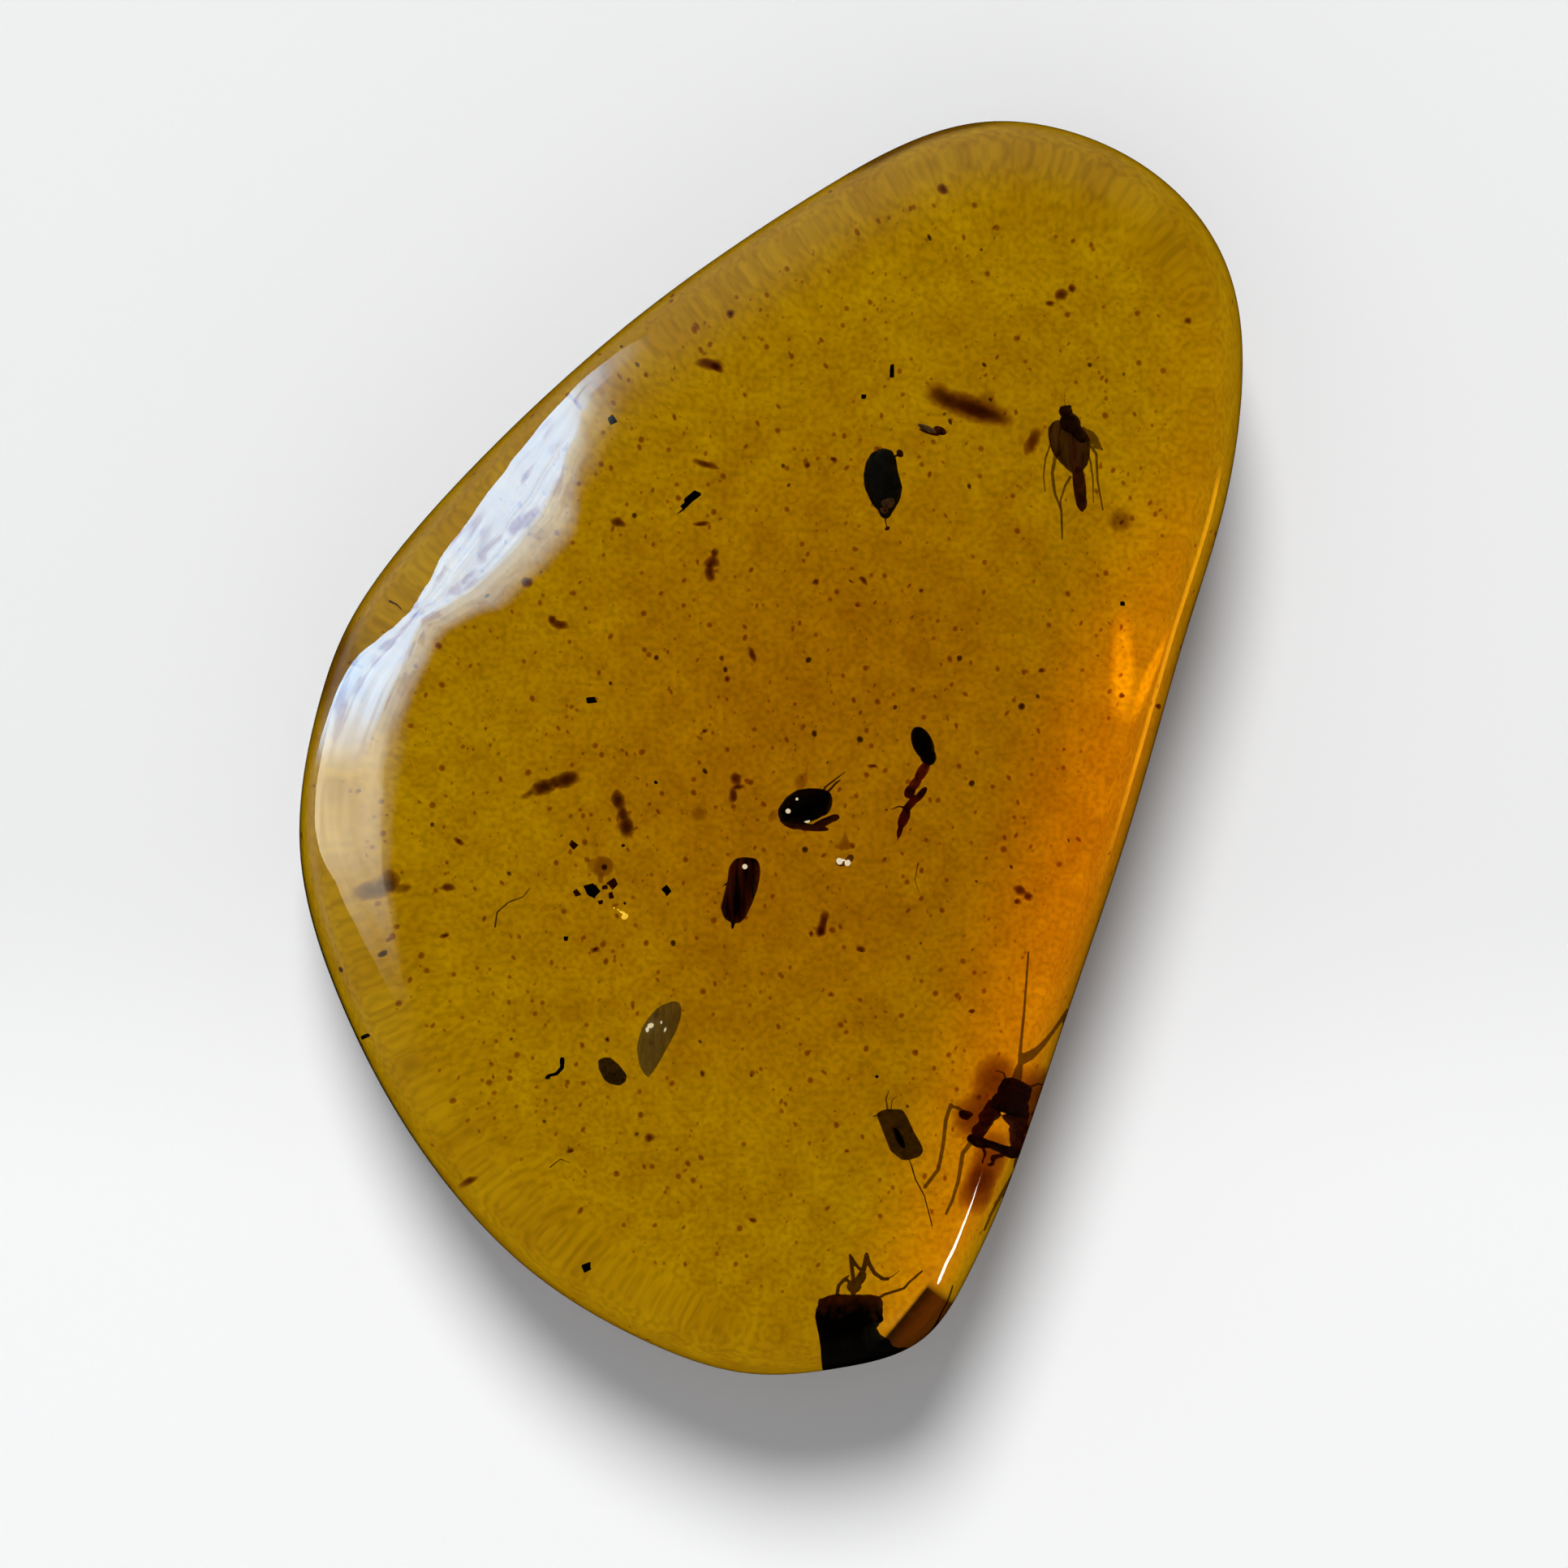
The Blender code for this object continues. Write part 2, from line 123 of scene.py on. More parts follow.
GIRDLE, GIRDLE_NORMAL = girdle_curve(GIRDLE_OUTLINE)
GIRDLE_START = math.atan2(GIRDLE_OUTLINE[0][1], GIRDLE_OUTLINE[0][0])
GIRDLE_TURN = GIRDLE_START + 2 * math.pi * np.arange(len(GIRDLE)) / len(GIRDLE)


def along_girdle(values, turn):
    return Vector([float(np.interp(turn, GIRDLE_TURN, column, period=2 * math.pi)) for column in values.T])


def stone_point(direction):
    """The point of the stone's surface for a direction on the unit sphere."""
    turn = math.atan2(direction.y, direction.x)
    latitude = math.asin(max(-1.0, min(1.0, direction.z)))
    edge = along_girdle(GIRDLE, turn)
    outward = along_girdle(GIRDLE_NORMAL, turn).normalized()
    facing = math.atan2(outward.y, outward.x)
    curl = min(abs(latitude) / SHOULDER_LATITUDE, 1.0) ** 1.5 * math.pi / 2
    rise = math.sin(curl) ** (2 / ROLL_CRISPNESS)
    if latitude >= 0:
        width = ROLL_MEAN + ROLL_SWING * math.cos(facing - ROLL_WIDEST)
        lean = WALL_LEAN * max(0.0, math.cos(facing - WALL_LEAN_FACING)) ** 2
    else:
        width = BACK_ROLL
        lean = 0.0
    place = edge - outward * (width * (1 - math.cos(curl)) + lean * rise)
    if abs(latitude) > SHOULDER_LATITUDE:
        place *= (math.pi / 2 - abs(latitude)) / (math.pi / 2 - SHOULDER_LATITUDE)
    if latitude >= 0:
        dome = DOME_RISE * (1 - min(1.0, place.length / edge.length) ** 2) ** 1.5
        height = GIRDLE_HEIGHT + CROWN_RISE * rise + dome
    else:
        height = GIRDLE_HEIGHT * (1 - rise)
    return Vector((place.x, place.y, height)) * MM


def piece_from(bm, name, material):
    mesh = bpy.data.meshes.new(name)
    bm.to_mesh(mesh)
    bm.free()
    mesh.shade_smooth()
    mesh.materials.append(material)
    piece = bpy.data.objects.new(name, mesh)
    bpy.context.scene.collection.objects.link(piece)
    return piece


# Fossil resin, hand-polished: clear golden brown, deepening with thickness because it absorbs blue
# first and then green.
amber, tree = empty_material("polished fossil resin")
place = add(tree, "ShaderNodeTexCoord")
flow = add(tree, "ShaderNodeTexNoise", {"Scale": 1 / (2.6 * MM), "Detail": 4.0, "Roughness": 0.6, "Distortion": 0.6},
           {"Vector": place.outputs["Object"]})
tint = add(tree, "ShaderNodeValToRGB", links={"Fac": flow.outputs["Fac"]})
tint.color_ramp.elements[0].position, tint.color_ramp.elements[0].color = 0.35, linear("F0E6D2")
tint.color_ramp.elements[1].position, tint.color_ramp.elements[1].color = 0.65, linear("FFFFFF")
height = add(tree, "ShaderNodeSeparateXYZ", links={"Vector": place.outputs["Object"]})
# Painted shade: two darker brown patches painted into the resin's tint, one on the wall at the top right and one on the
# rim at the left, standing in for a dark band seen in the rim.
on_wall = add(tree, "ShaderNodeMapRange", {"From Min": 5.2 * MM, "From Max": 5.0 * MM}, {"Value": height.outputs["Z"]})
colour = tint.outputs["Color"]
for middle, reach, full, shade in (((3.8, 14.6, 3.9), 2.6, 1.5, on_wall), ((-10.7, 1.9, 4.6), 2.0, 0.5, None)):
    away = add(tree, "ShaderNodeVectorMath", {1: [value * MM for value in middle]}, {0: place.outputs["Object"]},
               operation="DISTANCE")
    near = add(tree, "ShaderNodeMapRange", {"From Min": reach * MM, "From Max": full * MM, "To Max": 0.94},
               {"Value": away.outputs["Value"]}, interpolation_type="SMOOTHSTEP")
    if shade:
        near = add(tree, "ShaderNodeMath", links={0: near.outputs["Result"], 1: shade.outputs["Result"]},
                   operation="MULTIPLY")
    painted_rim_shade = add(tree, "ShaderNodeMix", {7: linear("6A4A2C")}, {0: near.outputs[0], 6: colour}, data_type="RGBA")
    colour = painted_rim_shade.outputs[2]
# Painted reflection: a dark wedge painted into the resin's tint in the lower right corner, under the crown's rim,
# standing in for the edge beetle mirrored in the steep wall; black on its inner side and browner towards the rim.
WEDGE_OUTWARD = (0.776, -0.631, 0.0)
WEDGE_ALONG = (0.631, 0.776, 0.0)
outward = add(tree, "ShaderNodeVectorMath", {1: WEDGE_OUTWARD}, {0: place.outputs["Object"]}, operation="DOT_PRODUCT")
along = add(tree, "ShaderNodeVectorMath", {1: WEDGE_ALONG}, {0: place.outputs["Object"]}, operation="DOT_PRODUCT")
beyond = add(tree, "ShaderNodeMapRange", {"From Min": 11.16 * MM, "From Max": 11.28 * MM},
             {"Value": outward.outputs["Value"]}, interpolation_type="SMOOTHSTEP")
below = add(tree, "ShaderNodeMapRange", {"From Min": -7.5 * MM, "From Max": -7.8 * MM},
            {"Value": along.outputs["Value"]}, interpolation_type="SMOOTHSTEP")
above = add(tree, "ShaderNodeMapRange", {"From Min": 4.0 * MM, "From Max": 4.6 * MM}, {"Value": height.outputs["Z"]})
corner = add(tree, "ShaderNodeMath", links={0: beyond.outputs["Result"], 1: below.outputs["Result"]},
             operation="MULTIPLY")
corner = add(tree, "ShaderNodeMath", links={0: corner.outputs[0], 1: above.outputs["Result"]}, operation="MULTIPLY")
paler = add(tree, "ShaderNodeMapRange", {"From Min": 11.3 * MM, "From Max": 11.8 * MM},
            {"Value": outward.outputs["Value"]}, interpolation_type="SMOOTHSTEP")
painted_reflection_wedge = add(tree, "ShaderNodeMix", {6: linear("080402"), 7: linear("381A0A")}, {0: paler.outputs["Result"]},
            data_type="RGBA")
skin = add(tree, "ShaderNodeMix", links={0: corner.outputs[0], 6: colour, 7: painted_reflection_wedge.outputs[2]}, data_type="RGBA")
waves = add(tree, "ShaderNodeTexNoise", {"Scale": 1 / (1.6 * MM), "Detail": 1.0}, {"Vector": place.outputs["Object"]})
polish = add(tree, "ShaderNodeBump", {"Strength": 1.0, "Distance": 0.008 * MM}, {"Height": waves.outputs["Fac"]})
shader = add(tree, "ShaderNodeBsdfPrincipled", {"Roughness": 0.02, "IOR": 1.54, "Transmission Weight": 1.0},
             {"Base Color": skin.outputs[2], "Normal": polish.outputs["Normal"]})
depth = add(tree, "ShaderNodeVolumeAbsorption", {"Color": (0.92, 0.80, 0.20, 1.0), "Density": 550.0})
add(tree, "ShaderNodeOutputMaterial", links={"Surface": shader.outputs[0], "Volume": depth.outputs[0]})

bm = bmesh.new()
bmesh.ops.create_cube(bm, size=2)
bmesh.ops.subdivide_edges(bm, edges=bm.edges, cuts=FACE_SEGMENTS - 1, use_grid_fill=True)
for vertex in bm.verts:
    vertex.co = stone_point(vertex.co.normalized())
stone = piece_from(bm, "amber_stone", amber)
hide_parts("amber_top", "amber_base")
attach(stone, "root")


# ---------------------------------------------------------------- winged fly
# A small fly, wings folded back over its body. Its shell and legs are dark brown chitin; the wings are
# thin brownish membranes with veins. The resin closed round it while it was soft.
FLY_PLACE = (7.32, 7.17, 5.0)
FLY_HEADING = 6
TURN = 2 * math.pi


def blob(bm, centre, radii, heading=0.0, pitch=0.0, detail=3):
    """An egg-like lump, in mm; heading turns its long axis anticlockwise in plan, in degrees."""
    turn = Matrix.Rotation(math.radians(heading), 4, "Z") @ Matrix.Rotation(math.radians(pitch), 4, "X")
    shape = Matrix.Translation(centre) @ turn @ Matrix.Diagonal((*radii, 1.0))
    return bmesh.ops.create_icosphere(bm, subdivisions=detail, radius=1.0, matrix=shape)["verts"]


def limb(bm, joints, thickness=0.07, tip=0.5, sides=8):
    """A leg, vein or feeler: one tapered segment from joint to joint, with a knuckle at each."""
    joints = [Vector(joint) for joint in joints]
    last = len(joints) - 1
    widths = [thickness / 2 * (1 + (tip - 1) * number / last) for number in range(last + 1)]
    for start, end, wide, narrow in zip(joints, joints[1:], widths, widths[1:]):
        along = end - start
        place = Matrix.Translation((start + end) / 2) @ along.to_track_quat("Z", "Y").to_matrix().to_4x4()
        bmesh.ops.create_cone(
            bm, cap_ends=True, segments=sides, radius1=wide, radius2=narrow, depth=along.length, matrix=place
        )
    for joint, width in zip(joints, widths):
        bmesh.ops.create_icosphere(bm, subdivisions=1, radius=width * 1.05, matrix=Matrix.Translation(joint))


def body_within(bm, outline, thickness, height=0.0, detail=4):
    """A domed body that fills an outline in plan, given in mm round its middle."""
    corners = np.array(outline)
    shares = np.arange(8)[None, :, None] / 8
    edge = (corners[:, None] + (np.roll(corners, -1, axis=0) - corners)[:, None] * shares).reshape(-1, 2)
    turns, reaches = np.arctan2(edge[:, 1], edge[:, 0]), np.hypot(*edge.T)
    made = bmesh.ops.create_icosphere(bm, subdivisions=detail, radius=1.0)
    for vertex in made["verts"]:
        turn = math.atan2(vertex.co.y, vertex.co.x)
        reach = float(np.interp(turn, turns, reaches, period=TURN)) if vertex.co.xy.length > 1e-6 else 0.0
        vertex.co = Vector((vertex.co.x * reach, vertex.co.y * reach, vertex.co.z * thickness + height))


def skinned(bm, grain=0.02, rounds=2):
    """One closed skin round the overlapping lumps, found with voxels of this size in mm."""
    mesh = bpy.data.meshes.new("lumps")
    bm.to_mesh(mesh)
    bm.free()
    lumps = bpy.data.objects.new("lumps", mesh)
    bpy.context.scene.collection.objects.link(lumps)
    remesh = lumps.modifiers.new("skin", "REMESH")
    remesh.mode = "VOXEL"
    remesh.voxel_size = grain
    soften = lumps.modifiers.new("soften", "SMOOTH")
    soften.factor = 0.5
    soften.iterations = rounds
    skin = bmesh.new()
    skin.from_object(lumps, bpy.context.evaluated_depsgraph_get())
    bpy.data.objects.remove(lumps)
    bpy.data.meshes.remove(mesh)
    return skin


def feathered(bm, thickness, middle=0.0, lump=None, ragged=0.05):
    """Thins a soaked lump to nothing at its ragged outline, so that its stain fades out there."""
    for vertex in lump or bm.verts:
        vertex.co.xy += noise.noise_vector(vertex.co * 7.0).xy * ragged
        away = (vertex.co.z - middle) / thickness
        vertex.co.z = middle + thickness * math.copysign(abs(away) ** 2.5, away)
    return bm


def roughened(bm, amount, grain):
    """Shifts the skin by up to this much, in lumps this big, so that decayed matter looks torn. In mm."""
    for vertex in bm.verts:
        vertex.co += noise.noise_vector(vertex.co / grain) * amount
    return bm


def inclusion(bm, name, material, place, slot, *nodes):
    """Moves what was modelled round its own middle, in mm, to its place in the resin."""
    bmesh.ops.translate(bm, verts=bm.verts, vec=place)
    bmesh.ops.scale(bm, verts=bm.verts, vec=(MM, MM, MM))
    piece = piece_from(bm, name, material)
    if nodes:
        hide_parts(*nodes)
    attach(piece, "root")
    return piece


def chitin(name, deep, light, roughness, mottle=0.25, pits=0.06, pit_depth=0.004, alpha=1.0):
    """Insect shell, finely pitted and mottled; resin wets away most of its shine. In mm."""
    material, tree = empty_material(name)
    place = add(tree, "ShaderNodeTexCoord")
    cloud = add(tree, "ShaderNodeTexNoise", {"Scale": 1 / (mottle * MM), "Detail": 3.0, "Roughness": 0.6},
                {"Vector": place.outputs["Object"]})
    tone = add(tree, "ShaderNodeValToRGB", links={"Fac": cloud.outputs["Fac"]})
    tone.color_ramp.elements[0].position, tone.color_ramp.elements[0].color = 0.35, linear(deep)
    tone.color_ramp.elements[1].position, tone.color_ramp.elements[1].color = 0.70, linear(light)
    pit = add(tree, "ShaderNodeTexVoronoi", {"Scale": 1 / (pits * MM)}, {"Vector": place.outputs["Object"]})
    bump = add(tree, "ShaderNodeBump", {"Strength": 0.6, "Distance": pit_depth * MM},
               {"Height": pit.outputs["Distance"]})
    shine = add(tree, "ShaderNodeMapRange", {"To Min": roughness - 0.08, "To Max": roughness + 0.12},
                {"Value": cloud.outputs["Fac"]})
    shader = add(tree, "ShaderNodeBsdfPrincipled", {"Specular IOR Level": 0.12, "Alpha": alpha}, {
        "Base Color": tone.outputs["Color"], "Roughness": shine.outputs["Result"],
        "Normal": bump.outputs["Normal"],
    })
    add(tree, "ShaderNodeOutputMaterial", links={"Surface": shader.outputs[0]})
    return material


def stained_resin(name, colour, density):
    """Matter so soaked in resin that it has no surface of its own: it only darkens what is behind it."""
    material, tree = empty_material(name)
    shader = add(tree, "ShaderNodeBsdfPrincipled", {
        "Base Color": (1.0, 1.0, 1.0, 1.0), "Roughness": 0.0, "IOR": 1.0, "Transmission Weight": 1.0,
    })
    depth = add(tree, "ShaderNodeVolumeAbsorption", {"Color": linear(colour), "Density": density})
    add(tree, "ShaderNodeOutputMaterial", links={"Surface": shader.outputs[0], "Volume": depth.outputs[0]})
    return material


# Dark brown cuticle, redder where it is thin; legs let some light through.
fly_shell = chitin("brown fly cuticle", "342018", "6A4836", 0.45)
red_shell = chitin("red-brown cuticle", "62281A", "9E5238", 0.42, alpha=0.9)
thin_shell = chitin("thin translucent cuticle", "7A3410", "B8682C", 0.45, alpha=0.55)

bm = bmesh.new()
blob(bm, (-0.13, 0.88, 0.05), (0.17, 0.15, 0.12))
blob(bm, (-0.02, 0.60, 0.05), (0.27, 0.24, 0.15), heading=-40)
blob(bm, (0.18, 0.36, 0.03), (0.15, 0.28, 0.12), heading=34)
blob(bm, (-0.22, 0.96, 0.10), (0.06, 0.05, 0.05), detail=2)
blob(bm, (-0.04, 0.99, 0.10), (0.06, 0.05, 0.05), detail=2)
inclusion(skinned(bm, 0.016, 4), "fly_body", fly_shell, FLY_PLACE, "brown_chitin", "winged_fly")

bm = bmesh.new()
blob(bm, (0.20, -0.90, -0.04), (0.16, 0.66, 0.12), heading=6)
blob(bm, (0.25, -1.30, -0.04), (0.14, 0.22, 0.10), heading=7)
blob(bm, (0.12, -0.10, -0.10), (0.20, 0.60, 0.08), heading=4)
inclusion(skinned(bm, 0.016, 3), "fly_abdomen", red_shell, FLY_PLACE, "brown_chitin", "winged_fly")

bm = bmesh.new()
blob(bm, (0.50, 0.26, 0.0), (0.12, 0.24, 0.08), heading=42)
blob(bm, (0.63, 0.08, 0.0), (0.09, 0.12, 0.07), heading=30)
limb(bm, [(0.30, 0.46, 0.0), (0.56, 0.24, 0.0), (0.75, -0.04, 0.0)], 0.12)
limb(bm, [(-0.30, 0.10, -0.05), (-0.40, -0.30, 0.0), (-0.46, -0.62, 0.0), (-0.40, -1.10, 0.0), (-0.24, -1.50, -0.05),
          (-0.22, -2.20, -0.1)], 0.11, tip=0.5)
limb(bm, [(-0.46, 0.20, -0.08), (-0.62, -0.26, -0.1), (-0.67, -0.68, -0.1), (-0.63, -1.06, -0.1)], 0.06, tip=0.6)
limb(bm, [(-0.02, -0.70, -0.06), (-0.14, -0.90, -0.1), (-0.26, -1.26, -0.12), (-0.25, -1.60, -0.12)], 0.08)
limb(bm, [(0.44, 0.10, -0.05), (0.61, -0.14, 0.0), (0.64, -0.78, -0.05), (0.77, -1.50, -0.1)], 0.09)
limb(bm, [(0.40, -0.10, -0.04), (0.47, -0.34, 0.0), (0.53, -0.76, -0.05), (0.54, -1.32, -0.1)], 0.07)
limb(bm, [(-0.14, 0.98, 0.0), (-0.15, 1.16, 0.04), (-0.15, 1.34, 0.05)], 0.035)
inclusion(skinned(bm, 0.016, 1), "fly_legs", thin_shell, FLY_PLACE, "brown_chitin", "winged_fly")

# Wing membrane: a clear brownish film, greyish pink in patches of painted sheen, stiffened by darker veins.
wing, tree = empty_material("fly wing membrane")
place = add(tree, "ShaderNodeTexCoord")
lengthwise = add(tree, "ShaderNodeMapping", {
    "Rotation": (0, 0, math.radians(-8)), "Scale": (1 / (0.16 * MM), 1 / (0.9 * MM), 1 / (0.3 * MM)),
}, {"Vector": place.outputs["Object"]})
folds_and_painted_sheen = add(tree, "ShaderNodeTexNoise", {"Scale": 1.0, "Detail": 2.0}, {"Vector": lengthwise.outputs[0]})
tone = add(tree, "ShaderNodeValToRGB", links={"Fac": folds_and_painted_sheen.outputs["Fac"]})
tone.color_ramp.elements[0].position, tone.color_ramp.elements[0].color = 0.32, linear("74422E")
tone.color_ramp.elements[1].position, tone.color_ramp.elements[1].color = 0.70, linear("C09484")
shader = add(tree, "ShaderNodeBsdfPrincipled", {"Roughness": 0.5, "Specular IOR Level": 0.2, "Alpha": 0.80},
             {"Base Color": tone.outputs["Color"]})
add(tree, "ShaderNodeOutputMaterial", links={"Surface": shader.outputs[0]})
WING_OUTLINE = [
    (-0.40, 0.66), (-0.56, 0.48), (-0.55, 0.22), (-0.46, -0.10), (-0.28, -0.34), (-0.12, -0.50), (0.05, -0.64),
    (0.24, -0.60), (0.40, -0.40), (0.46, -0.10), (0.45, 0.22), (0.28, 0.50), (0.00, 0.70),
]
bm = bmesh.new()
body_within(bm, WING_OUTLINE, 0.035, height=0.02)
inclusion(bm, "fly_wings", wing, FLY_PLACE, "brown_chitin", "winged_fly")
bm = bmesh.new()
for path in (
    ((-0.44, 0.60), (-0.53, 0.30), (-0.46, -0.06), (-0.28, -0.32)), ((0.20, 0.40), (0.40, 0.16), (0.42, -0.20), (0.34, -0.46)),
    ((-0.24, 0.56), (-0.32, 0.20), (-0.24, -0.20), (-0.10, -0.46)), ((0.02, 0.46), (0.06, 0.00), (0.04, -0.56)),
):
    limb(bm, [(x, y, 0.045) for x, y in path], 0.05, sides=6)
inclusion(skinned(bm, 0.014, 2), "fly_wing_veins", thin_shell, FLY_PLACE, "brown_chitin", "winged_fly")


# ---------------------------------------------------------------- oval beetle
# A matt charcoal beetle seen from above. Its wing cases meet in one smooth shell that narrows to the
# tail, and a scrap of paler membrane shows at the end.
OVAL_PLACE = (2.78, 6.34, 5.4)
OVAL_OUTLINE = [
    (0.00, 0.79), (-0.28, 0.68), (-0.42, 0.44), (-0.48, 0.12), (-0.44, -0.20), (-0.26, -0.58), (0.03, -0.90),
    (0.24, -0.74), (0.40, -0.46), (0.46, -0.16), (0.40, 0.06), (0.35, 0.24), (0.32, 0.54), (0.22, 0.74),
]
charcoal = chitin("charcoal wing case", "243050", "3E4C72", 0.75, mottle=0.4, pits=0.05)
bm = bmesh.new()
body_within(bm, OVAL_OUTLINE, 0.32)
blob(bm, (0.03, 0.60, 0.06), (0.20, 0.16, 0.20))
blob(bm, (0.05, -0.70, -0.04), (0.17, 0.22, 0.14))
inclusion(skinned(bm), "oval_beetle_body", charcoal, OVAL_PLACE, "grey_chitin", "oval_beetle")
membrane = chitin("pale tail membrane", "6E5E5A", "C4B0A8", 0.5, mottle=0.12)
bm = bmesh.new()
blob(bm, (0.10, -0.52, 0.21), (0.17, 0.15, 0.07))
blob(bm, (0.02, -0.68, 0.15), (0.10, 0.12, 0.05))
inclusion(skinned(bm, 0.012), "oval_beetle_tail", membrane, OVAL_PLACE, "grey_chitin", "oval_beetle")
bm = bmesh.new()
blob(bm, (0.41, 0.66, 0.0), (0.08, 0.10, 0.07), heading=20)
limb(bm, [(0.22, 0.56, 0.02), (0.33, 0.60, 0.02), (0.41, 0.66, 0.0)], 0.07)
blob(bm, (0.09, -1.15, 0.0), (0.07, 0.05, 0.04), heading=30)
limb(bm, [(0.04, -0.84, 0.0), (0.05, -1.00, 0.0), (0.09, -1.15, 0.0)], 0.05)
inclusion(skinned(bm, 0.012), "oval_beetle_feelers", red_shell, OVAL_PLACE, "brown_chitin", "oval_beetle")


# ---------------------------------------------------------------- round beetle
# A jet-black domed beetle lying on its side plate. Thin films of air against the shell shine white.
ROUND_PLACE = (0.89, -1.55, 5.3)
ROUND_OUTLINE = [
    (0.64, 0.10), (0.60, 0.30), (0.51, 0.42), (0.36, 0.46), (0.08, 0.47), (-0.22, 0.42), (-0.47, 0.25),
    (-0.67, -0.04), (-0.66, -0.22), (-0.58, -0.36), (-0.30, -0.43), (0.04, -0.38), (0.32, -0.27), (0.55, -0.10),
]
jet = chitin("jet-black wing case", "030202", "0C0806", 0.3, pits=0.045, pit_depth=0.002)
bm = bmesh.new()
body_within(bm, ROUND_OUTLINE, 0.36)
blob(bm, (0.44, 0.10, 0.0), (0.20, 0.32, 0.26), heading=-12)
inclusion(skinned(bm), "round_beetle_body", jet, ROUND_PLACE, "black_chitin", "round_beetle")
bm = bmesh.new()
blob(bm, (0.44, -0.36, -0.12), (0.38, 0.10, 0.08), heading=24)
blob(bm, (0.66, -0.26, -0.08), (0.16, 0.09, 0.07), heading=14)
blob(bm, (0.05, -0.48, -0.14), (0.52, 0.09, 0.07), heading=-6)
blob(bm, (-0.42, -0.40, -0.14), (0.24, 0.08, 0.06), heading=-30)
limb(bm, [(0.40, 0.36, 0.0), (0.47, 0.49, 0.0), (0.78, 0.73, 0.0), (0.95, 0.86, 0.0)], 0.06)
limb(bm, [(0.52, 0.36, 0.0), (0.74, 0.60, 0.0), (0.84, 0.66, 0.0)], 0.07)
inclusion(skinned(bm, 0.016, 1), "round_beetle_plate", red_shell, ROUND_PLACE, "brown_chitin", "round_beetle")
faded = stained_resin("faded leg", "9B0000", 6300.0)
bm = bmesh.new()
blob(bm, (-0.10, 0.62, -0.05), (0.16, 0.24, 0.06), heading=-22)
limb(bm, [(-0.12, 0.60, -0.05), (0.02, 0.84, -0.08), (0.06, 1.06, -0.1)], 0.08)
blob(bm, (-0.78, -0.20, -0.1), (0.20, 0.10, 0.06), heading=60)
inclusion(skinned(bm, 0.016, 1), "round_beetle_leg", faded, ROUND_PLACE, "brown_chitin", "round_beetle")

# Trapped air: a flat silvery film. Resin against air throws back all the light, so it is given a glow: a painted
# highlight.
air_with_painted_glint, tree = empty_material("film of trapped air with painted glint")
place = add(tree, "ShaderNodeTexCoord")
ripple = add(tree, "ShaderNodeTexNoise", {"Scale": 1 / (0.05 * MM)}, {"Vector": place.outputs["Object"]})
bump = add(tree, "ShaderNodeBump", {"Strength": 0.4, "Distance": 0.004 * MM}, {"Height": ripple.outputs["Fac"]})
shader = add(tree, "ShaderNodeBsdfPrincipled", {
    "Base Color": linear("F6F2EA"), "Roughness": 0.35, "Metallic": 0.35,
    "Emission Color": linear("FFFDF4"), "Emission Strength": 0.7,
}, {"Normal": bump.outputs["Normal"]})
add(tree, "ShaderNodeOutputMaterial", links={"Surface": shader.outputs[0]})
bm = bmesh.new()
blob(bm, (-0.42, -0.09, 0.29), (0.065, 0.060, 0.03), detail=2)
blob(bm, (-0.21, 0.20, 0.30), (0.035, 0.035, 0.02), detail=2)
blob(bm, (0.03, -0.33, 0.16), (0.075, 0.045, 0.03), detail=2)
inclusion(bm, "round_beetle_glints", air_with_painted_glint, ROUND_PLACE, "husk")


# ---------------------------------------------------------------- long beetle
# A parallel-sided beetle whose wing cases are streaked lengthwise in dark red-brown and black.
LONG_PLACE = (-0.70, -3.57, 5.3)
LONG_OUTLINE = [
    (-0.12, 0.77), (0.03, 0.82), (0.22, 0.82), (0.42, 0.78), (0.50, 0.62), (0.50, 0.34), (0.42, 0.00),
    (0.30, -0.32), (0.14, -0.66), (0.00, -0.78), (-0.14, -0.78), (-0.34, -0.64), (-0.47, -0.42), (-0.38, -0.10),
    (-0.29, 0.28), (-0.26, 0.58),
]
long_shell, tree = empty_material("striped wing case")
place = add(tree, "ShaderNodeTexCoord")
lengthwise = add(tree, "ShaderNodeMapping", {
    "Rotation": (0, 0, math.radians(14)), "Scale": (1 / (0.13 * MM), 1 / (1.6 * MM), 1 / (0.5 * MM)),
}, {"Vector": place.outputs["Object"]})
stripes = add(tree, "ShaderNodeTexNoise", {"Scale": 1.0, "Detail": 2.0}, {"Vector": lengthwise.outputs[0]})
tone = add(tree, "ShaderNodeValToRGB", links={"Fac": stripes.outputs["Fac"]})
tone.color_ramp.elements[0].position, tone.color_ramp.elements[0].color = 0.40, linear("1A0804")
tone.color_ramp.elements[1].position, tone.color_ramp.elements[1].color = 0.66, linear("8A4028")
pit = add(tree, "ShaderNodeTexVoronoi", {"Scale": 1 / (0.05 * MM)}, {"Vector": place.outputs["Object"]})
bump = add(tree, "ShaderNodeBump", {"Strength": 0.5, "Distance": 0.003 * MM}, {"Height": pit.outputs["Distance"]})
shader = add(tree, "ShaderNodeBsdfPrincipled", {"Roughness": 0.35, "Specular IOR Level": 0.12},
             {"Base Color": tone.outputs["Color"], "Normal": bump.outputs["Normal"]})
add(tree, "ShaderNodeOutputMaterial", links={"Surface": shader.outputs[0]})
bm = bmesh.new()
body_within(bm, LONG_OUTLINE, 0.30)
blob(bm, (0.16, 0.52, 0.02), (0.30, 0.26, 0.28), heading=-14)
blob(bm, (-0.15, -0.44, 0.0), (0.28, 0.32, 0.26), heading=-14)
limb(bm, [(-0.15, -0.74, 0.0), (-0.17, -0.90, 0.0)], 0.12)
